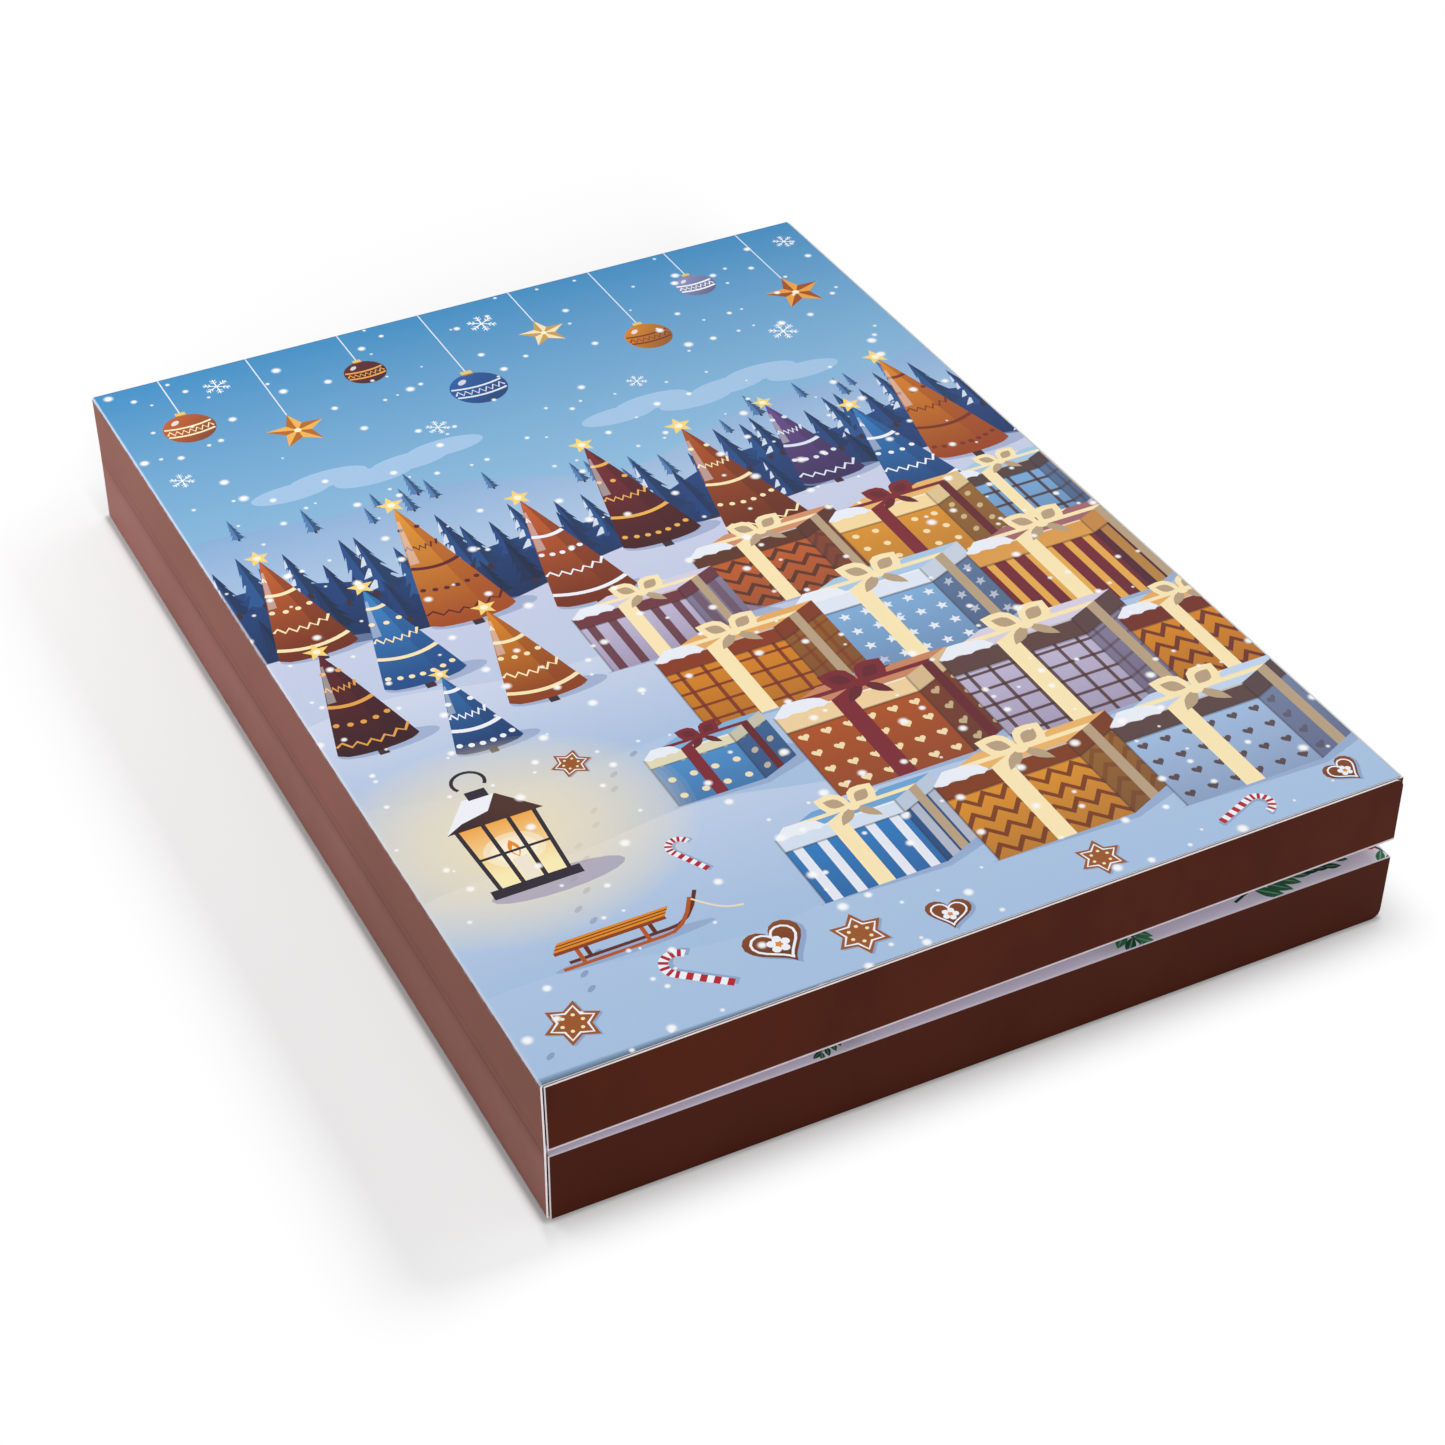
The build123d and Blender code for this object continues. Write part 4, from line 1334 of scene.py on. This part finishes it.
def numberShapes(text, size):
    # The figures as flat triangles about their middle, from Blender's own lettering
    curve = bpy.data.curves.new("figures", "FONT")
    curve.body, curve.size, curve.resolution_u = text, size, 3
    shown = bpy.data.objects.new("figures", curve)
    bpy.context.scene.collection.objects.link(shown)
    bpy.context.view_layer.update()
    shaped = shown.evaluated_get(bpy.context.evaluated_depsgraph_get())
    mesh = bpy.data.meshes.new_from_object(shaped)
    mesh.calc_loop_triangles()
    points = np.array([v.co[:2] for v in mesh.vertices])
    points -= (points.min(0) + points.max(0)) / 2
    triangles = [points[list(t.vertices)] for t in mesh.loop_triangles]
    bpy.data.objects.remove(shown)
    bpy.data.meshes.remove(mesh)
    return triangles


def numberPlate(art, x, y, number):
    # A shape with a double rim, and the door's number in it
    tone = page["plates"][number % 6]
    rim = between(tone, page["plateShade"], 0.35)
    kind = ("bauble", "star", "heart", "disc")[(number * 5) % 4]
    size = 16 if kind == "star" else 17.5
    plate = Motif(art, x, y, size)
    if kind == "star":
        plate.paint(star(0, 0, 1.28, 0.72, 8, 0.2), rim)
        plate.paint(star(0, 0, 1.18, 0.72, 8, 0.2), tone)
        plate.paint(oval(0, 0, 0.86, count=36), between(tone, "ffffff", 0.16))
    elif kind == "heart":
        plate.paint(heart(0, 0, 2.45, 0, 40), rim)
        plate.paint(heart(0, 0, 2.28, 0, 40), tone)
        y -= 1.0
    else:
        if kind == "bauble":
            art.paint(box2(x - 3.2, y + size * 0.9, x + 3.2, y + size * 1.22), "d9a441")
            loop = np.linspace(0, 2 * math.pi, 14)
            loop = np.column_stack((2.2 * np.cos(loop), 2.2 * np.sin(loop)))
            art.stroke(loop + (x, y + size * 1.32), 0.7, "d9a441")
        plate.paint(oval(0, 0, 1, count=44), rim)
        plate.paint(oval(0, 0, 0.94, count=44), tone, 1,
                    ((-1, 1), (1, -1), between(tone, page["plateShade"], 0.25)))
        for dot in around(24, size * 0.84) + (x, y):
            art.paint(oval(*dot, 0.55, count=7), "f6e3b4")
    for shape in numberShapes(str(number), page["numberSize"]):
        art.paint(shape + (x, y), page["number"])


def pagePicture(side, leaves):
    # Across the page from its left edge as it is read, and along it from the front end
    art, width, length = Canvas(), book["faceWidth"], book["faceLength"]
    draw = np.random.default_rng(page["seed"] + (side == "upper"))
    art.paint(box2(-2, -2, width + 2, length + 2), page["ground"], 1,
              ((0, length), (0, 0), page["groundTo"]))
    for k in range(150):
        x, y = draw.uniform(0, width), draw.uniform(0, length)
        if k % 3:
            art.paint(oval(x, y, draw.uniform(0.5, 1.3), count=9), "ffffff", 0.8)
        else:
            snowflake(art, x, y, draw.uniform(2.2, 4.4), "f7f8ff")
    for column in range(4):
        for row in range(5):
            x = 6 + column * (width - 12) / 3 + draw.uniform(-4, 4)
            y = 6 + row * (length - 12) / 4 + draw.uniform(-4, 4)
            y += 9 * (row == 0 and column in (1, 2))
            first = draw.uniform(0, 2 * math.pi)
            if row == 0 and column == (0 if side == "lower" else 3):
                continue  # the front corner beside the spine stays plain
            for k in range(3):
                twig(art, x, y, draw.uniform(16, 24), first + k * 2.1, draw)
    for column in range(3):
        for row in range(5):
            x, y = (column + 0.5) * width / 3 + draw.uniform(-6, 6), 4 + row * (length - 8) / 4
            if row:
                art.paint(star(x, y, 3.4, 0.42), "e9b64d")
                art.paint(star(x, y, 1.7, 0.42), "fbe3a6")
    if side == "lower":
        for values in page["frontTwigs"]:
            twig(art, *values, draw, 0)
    for name, (low, high) in leaves.items():
        x, y = (low + high) / 2 + draw.uniform(-5, 5, 2)
        numberPlate(art, x, y, int(name.split("_")[1]))
    inset, gap = page["edgeInset"], page["doorGap"]
    art.region("sheet", box2(inset, inset, width - inset, length - inset))
    for name, (low, high) in leaves.items():
        art.region("opening " + name, box2(*(low - gap), *(high + gap)))
        art.region("leaf " + name, box2(*low, *high))
    return art.flatten(page["ground"])


def ontoPage(side, sheet, height):
    # The upper page is read from the other side, so it runs the other way across
    x = sheet[:, 0] if side == "lower" else book["faceWidth"] - sheet[:, 0]
    return intoHalf(side, book["faceX"] + x, book["faceY"] + sheet[:, 1], book["faceTop"] + height)


def stripAcross(name, material, ends, heights, span, divisions, place, mirrored):
    # A closed strip with its length along the spine: ends across, heights up, span along. Its
    # faces are turned over where the place is mirrored, so that they point outwards
    across = np.linspace(*ends, divisions + 1)
    x, z = np.append(across, across[::-1]), np.repeat(heights, divisions + 1)
    rings = np.array([place(x, along, z) for along in span])
    low, size = np.arange(divisions), len(x)
    caps = np.column_stack((low, low + 1, size - 2 - low, size - 1 - low))
    faces = skin(rings, flipped=True)[:-2] + caps.tolist() + (caps[:, ::-1] + size).tolist()
    mesh = bpy.data.meshes.new(name)
    mesh.from_pydata(rings.reshape(-1, 3), [],
                     [face[::-1] for face in faces] if mirrored else faces)
    return addPiece(name, mesh, material)


print("pages and doors")
pageInk = printMaterial("pageInk", page["roughness"], ())
foldInk = Shader("foldBoard").surface(page["ground"], page["roughness"])
gap, fold = page["doorGap"], page["fold"]
top = book["faceTop"] + fold["proud"]
for side, names in doors.items():
    boxes, leaves = {}, {}
    for name in names:
        corners = halfTriangles(name, side).reshape(-1, 3)
        boxes[name] = corners.min(0), corners.max(0)
        low, high = (corner[:2] - (book["faceX"], book["faceY"]) for corner in boxes[name])
        if side == "upper":
            low[0], high[0] = book["faceWidth"] - high[0], book["faceWidth"] - low[0]
        leaves[name] = low, high
    flat = pagePicture(side, leaves)
    masks, bend = flat["masks"], partial(ontoPage, side)
    openings = np.any([masks["opening " + name] for name in names], axis=0)
    sheet = printedLayer(side + "PagePrint", flat, masks["sheet"] & ~openings, bend,
                         page["printHeights"], pageInk)
    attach(sheet, side + "_half")
    for name in names:
        number = name.split("_")[1]
        leafSheet = printedLayer("doorPrint" + number, flat, masks["leaf " + name], bend,
                                 page["printHeights"], pageInk)
        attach(leafSheet, name)
        low, high = boxes[name]
        edge, span = low[0] - gap, (low[1] + fold["short"], high[1] - fold["short"])
        ends = edge - fold["lap"], edge + 2 * gap + fold["lap"]
        strip = stripAcross("doorFold" + number, foldInk, ends, (top - fold["depth"], top), span, 8,
                            partial(intoHalf, side), side == "upper")
        start, end = (intoHalf(side, edge + shift, sum(span) / 2, top) for shift in (0, gap))
        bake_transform(strip)

# The spine's crease: a strip that covers the joint of the two wraps
crease = {"proud": 0.04, "reach": 1.6, "bend": 0.35, "short": 0.02}
strip = stripAcross(
    "spineCrease", materials["back_cover"],
    (book["creaseZ"] - crease["reach"], book["creaseZ"] + crease["reach"]),
    (-crease["proud"], book["board"] + crease["proud"]),
    (crease["short"], book["length"] - crease["short"]), 32,
    lambda up, along, across: intoHalf("lower", across, along, up), True)
x, z, bend = (book["spineX"] + 0.2) * mm, book["creaseZ"] * mm, crease["bend"] * mm
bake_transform(strip)


# Camera at the photo's angle: where it stands, then how it is turned

camera = {
    "place": (-321.05, -638.22, 540.43),     # millimetres
    "yaw": 27.553,                           # degrees from the spine's direction
    "pitch": 37.546,                         # degrees downwards
    "roll": 0.695,
    "lens": 73.06,                           # millimetres, on a sensor 36 wide
}


def aimedCamera():
    # Turned by the yaw and pitch, then rolled about its line of sight
    yaw, pitch, roll = (math.radians(camera[key]) for key in ("yaw", "pitch", "roll"))
    forward = Vector((math.cos(pitch) * math.sin(yaw), math.cos(pitch) * math.cos(yaw),
                      -math.sin(pitch)))
    level = Vector((math.cos(yaw), -math.sin(yaw), 0))
    upright = level.cross(forward)
    right = level * math.cos(roll) + upright * math.sin(roll)
    up = upright * math.cos(roll) - level * math.sin(roll)
    data = bpy.data.cameras.new("camera")
    data.lens, data.sensor_width, data.clip_end = camera["lens"], 36, 50
    shown = bpy.data.objects.new("camera", data)
    turn = Matrix((right, up, -forward)).transposed().to_4x4()
    shown.matrix_world = Matrix.Translation(Vector(camera["place"]) * mm) @ turn
    bpy.context.scene.collection.objects.link(shown)
    bpy.context.scene.camera = shown


# Studio: a white floor, a large soft lamp above, a fill from the front, a small one behind left

studio = {
    "floorColour": "f0f0f0",
    "paintedContactShadow": ("2a2622", 0.5, 2.4),  # painted contact shadow: colour, share and reach in millimetres beside the book
    "floorSize": 30.0,               # metres
    "leastWhite": 0.10,              # share of plain white in the floor's colour at the book
    "spineWhite": 0.62,              # the same beside the spine, at its largest: painted light that lifts the shadow there
    "spineFade": (4, 70),            # millimetres over which that comes and goes
    "shadowReach": {"left": 36, "right": 20, "front": 20, "back": 180},  # then plain white
    "leftDelay": 28,                 # millimetres from the spine before the left reach starts
    "frontSpread": 0.2,              # the front reach grows by this share of the way leftwards
    "rightSpread": 0.25,             # and the right reach by this share of the way backwards
    "sky": 0.46,
    "lamps": (                       # place, aim, size in metres and power in watts
        ((0.70, 0.15, 1.45), (0, 0, 0), 1.4, 9.6),
        ((-0.20, -1.25, 0.55), (0, -0.17, 0.02), 0.8, 5.0),
        ((-0.38, 0.50, 0.25), (-0.12, 0.14, 0.02), 0.30, 1.85),
    ),
}


def whiteFloor():
    # A plane whose seen colour fades to plain white away from the object; the shadow stays, though
    # this white, as painted light, lifts it beside the spine and sets where it ends
    half = studio["floorSize"] / 2
    mesh = bpy.data.meshes.new("floor")
    mesh.from_pydata([(x, y, -0.0001) for x, y in box2(-half, -half, half, half)], [],
                     [(0, 1, 2, 3)])
    shader = Shader("floor")
    x, y, _ = shader.split(shader.place())
    wide, long, reach = book["width"] / 2, book["length"] / 2, studio["shadowReach"]
    beside, behind = (-wide - x).orMore(0), (y - long).orMore(0)
    leftwards = (beside - studio["leftDelay"]) / reach["left"]
    rightwards = (x - wide) / (behind * studio["rightSpread"] + reach["right"])
    forwards = (-long - y) / (beside * studio["frontSpread"] + reach["front"])
    across = rightwards.orMore(leftwards).orMore(0)
    along = ((y - long) / reach["back"]).orMore(forwards).orMore(0)
    # The share of white grows with the distance to the power of three quarters
    distance = (across * across + along * along) ** 0.375
    least = studio["leastWhite"]
    share = shader.ramp(distance, 0.0, 1.0) * (1 - least) + least
    near, far = studio["spineFade"]
    # Painted light: plain white beside the spine lifts the shadow there
    atSpine = shader.ramp(beside, 0, near) * (1 - shader.ramp(beside + behind, 0, far))
    white = shader.seenPlainly() * share.orMore(atSpine * studio["spineWhite"])
    # A painted contact shadow: the floor's colour darkened within a few millimetres of the book's
    # footprint
    off = ((abs(x) - wide).orMore(0) ** 2 + (abs(y) - long).orMore(0) ** 2) ** 0.5
    tone, strength, reach = studio["paintedContactShadow"]
    paintedContactShadow = (1 - shader.ramp(off, 0.5, reach)) * strength
    ground = shader.mix(paintedContactShadow, studio["floorColour"], tone)
    lit = shader.node("ShaderNodeBsdfDiffuse", None, ground)
    plain = shader.node("ShaderNodeEmission", None, "ffffff", 1.0)
    shader.node("ShaderNodeOutputMaterial", None,
                shader.node("ShaderNodeMixShader", None, white, lit, plain))
    addPiece("floor", mesh, shader.owner)


def studioSky():
    # White where it is seen, and dimmer where it lights the object
    shader = Shader("studio", "worlds")
    strength = shader.seenPlainly() * (1 - studio["sky"]) + studio["sky"]
    light = shader.node("ShaderNodeBackground", None, "ffffff", strength)
    shader.node("ShaderNodeOutputWorld", None, light)
    bpy.context.scene.world = shader.owner


def studioLamps():
    # Square soft lamps, each turned to its aim
    for index, (place, aim, size, power) in enumerate(studio["lamps"]):
        data = bpy.data.lights.new(f"lamp{index}", "AREA")
        data.size, data.energy = size, power
        lamp = bpy.data.objects.new(f"lamp{index}", data)
        turn = (Vector(aim) - Vector(place)).to_track_quat("-Z", "Y").to_matrix().to_4x4()
        lamp.matrix_world = Matrix.Translation(place) @ turn
        bpy.context.scene.collection.objects.link(lamp)


print("studio")
aimedCamera()
whiteFloor()
studioSky()
studioLamps()
bpy.context.scene.view_settings.view_transform = "Standard"
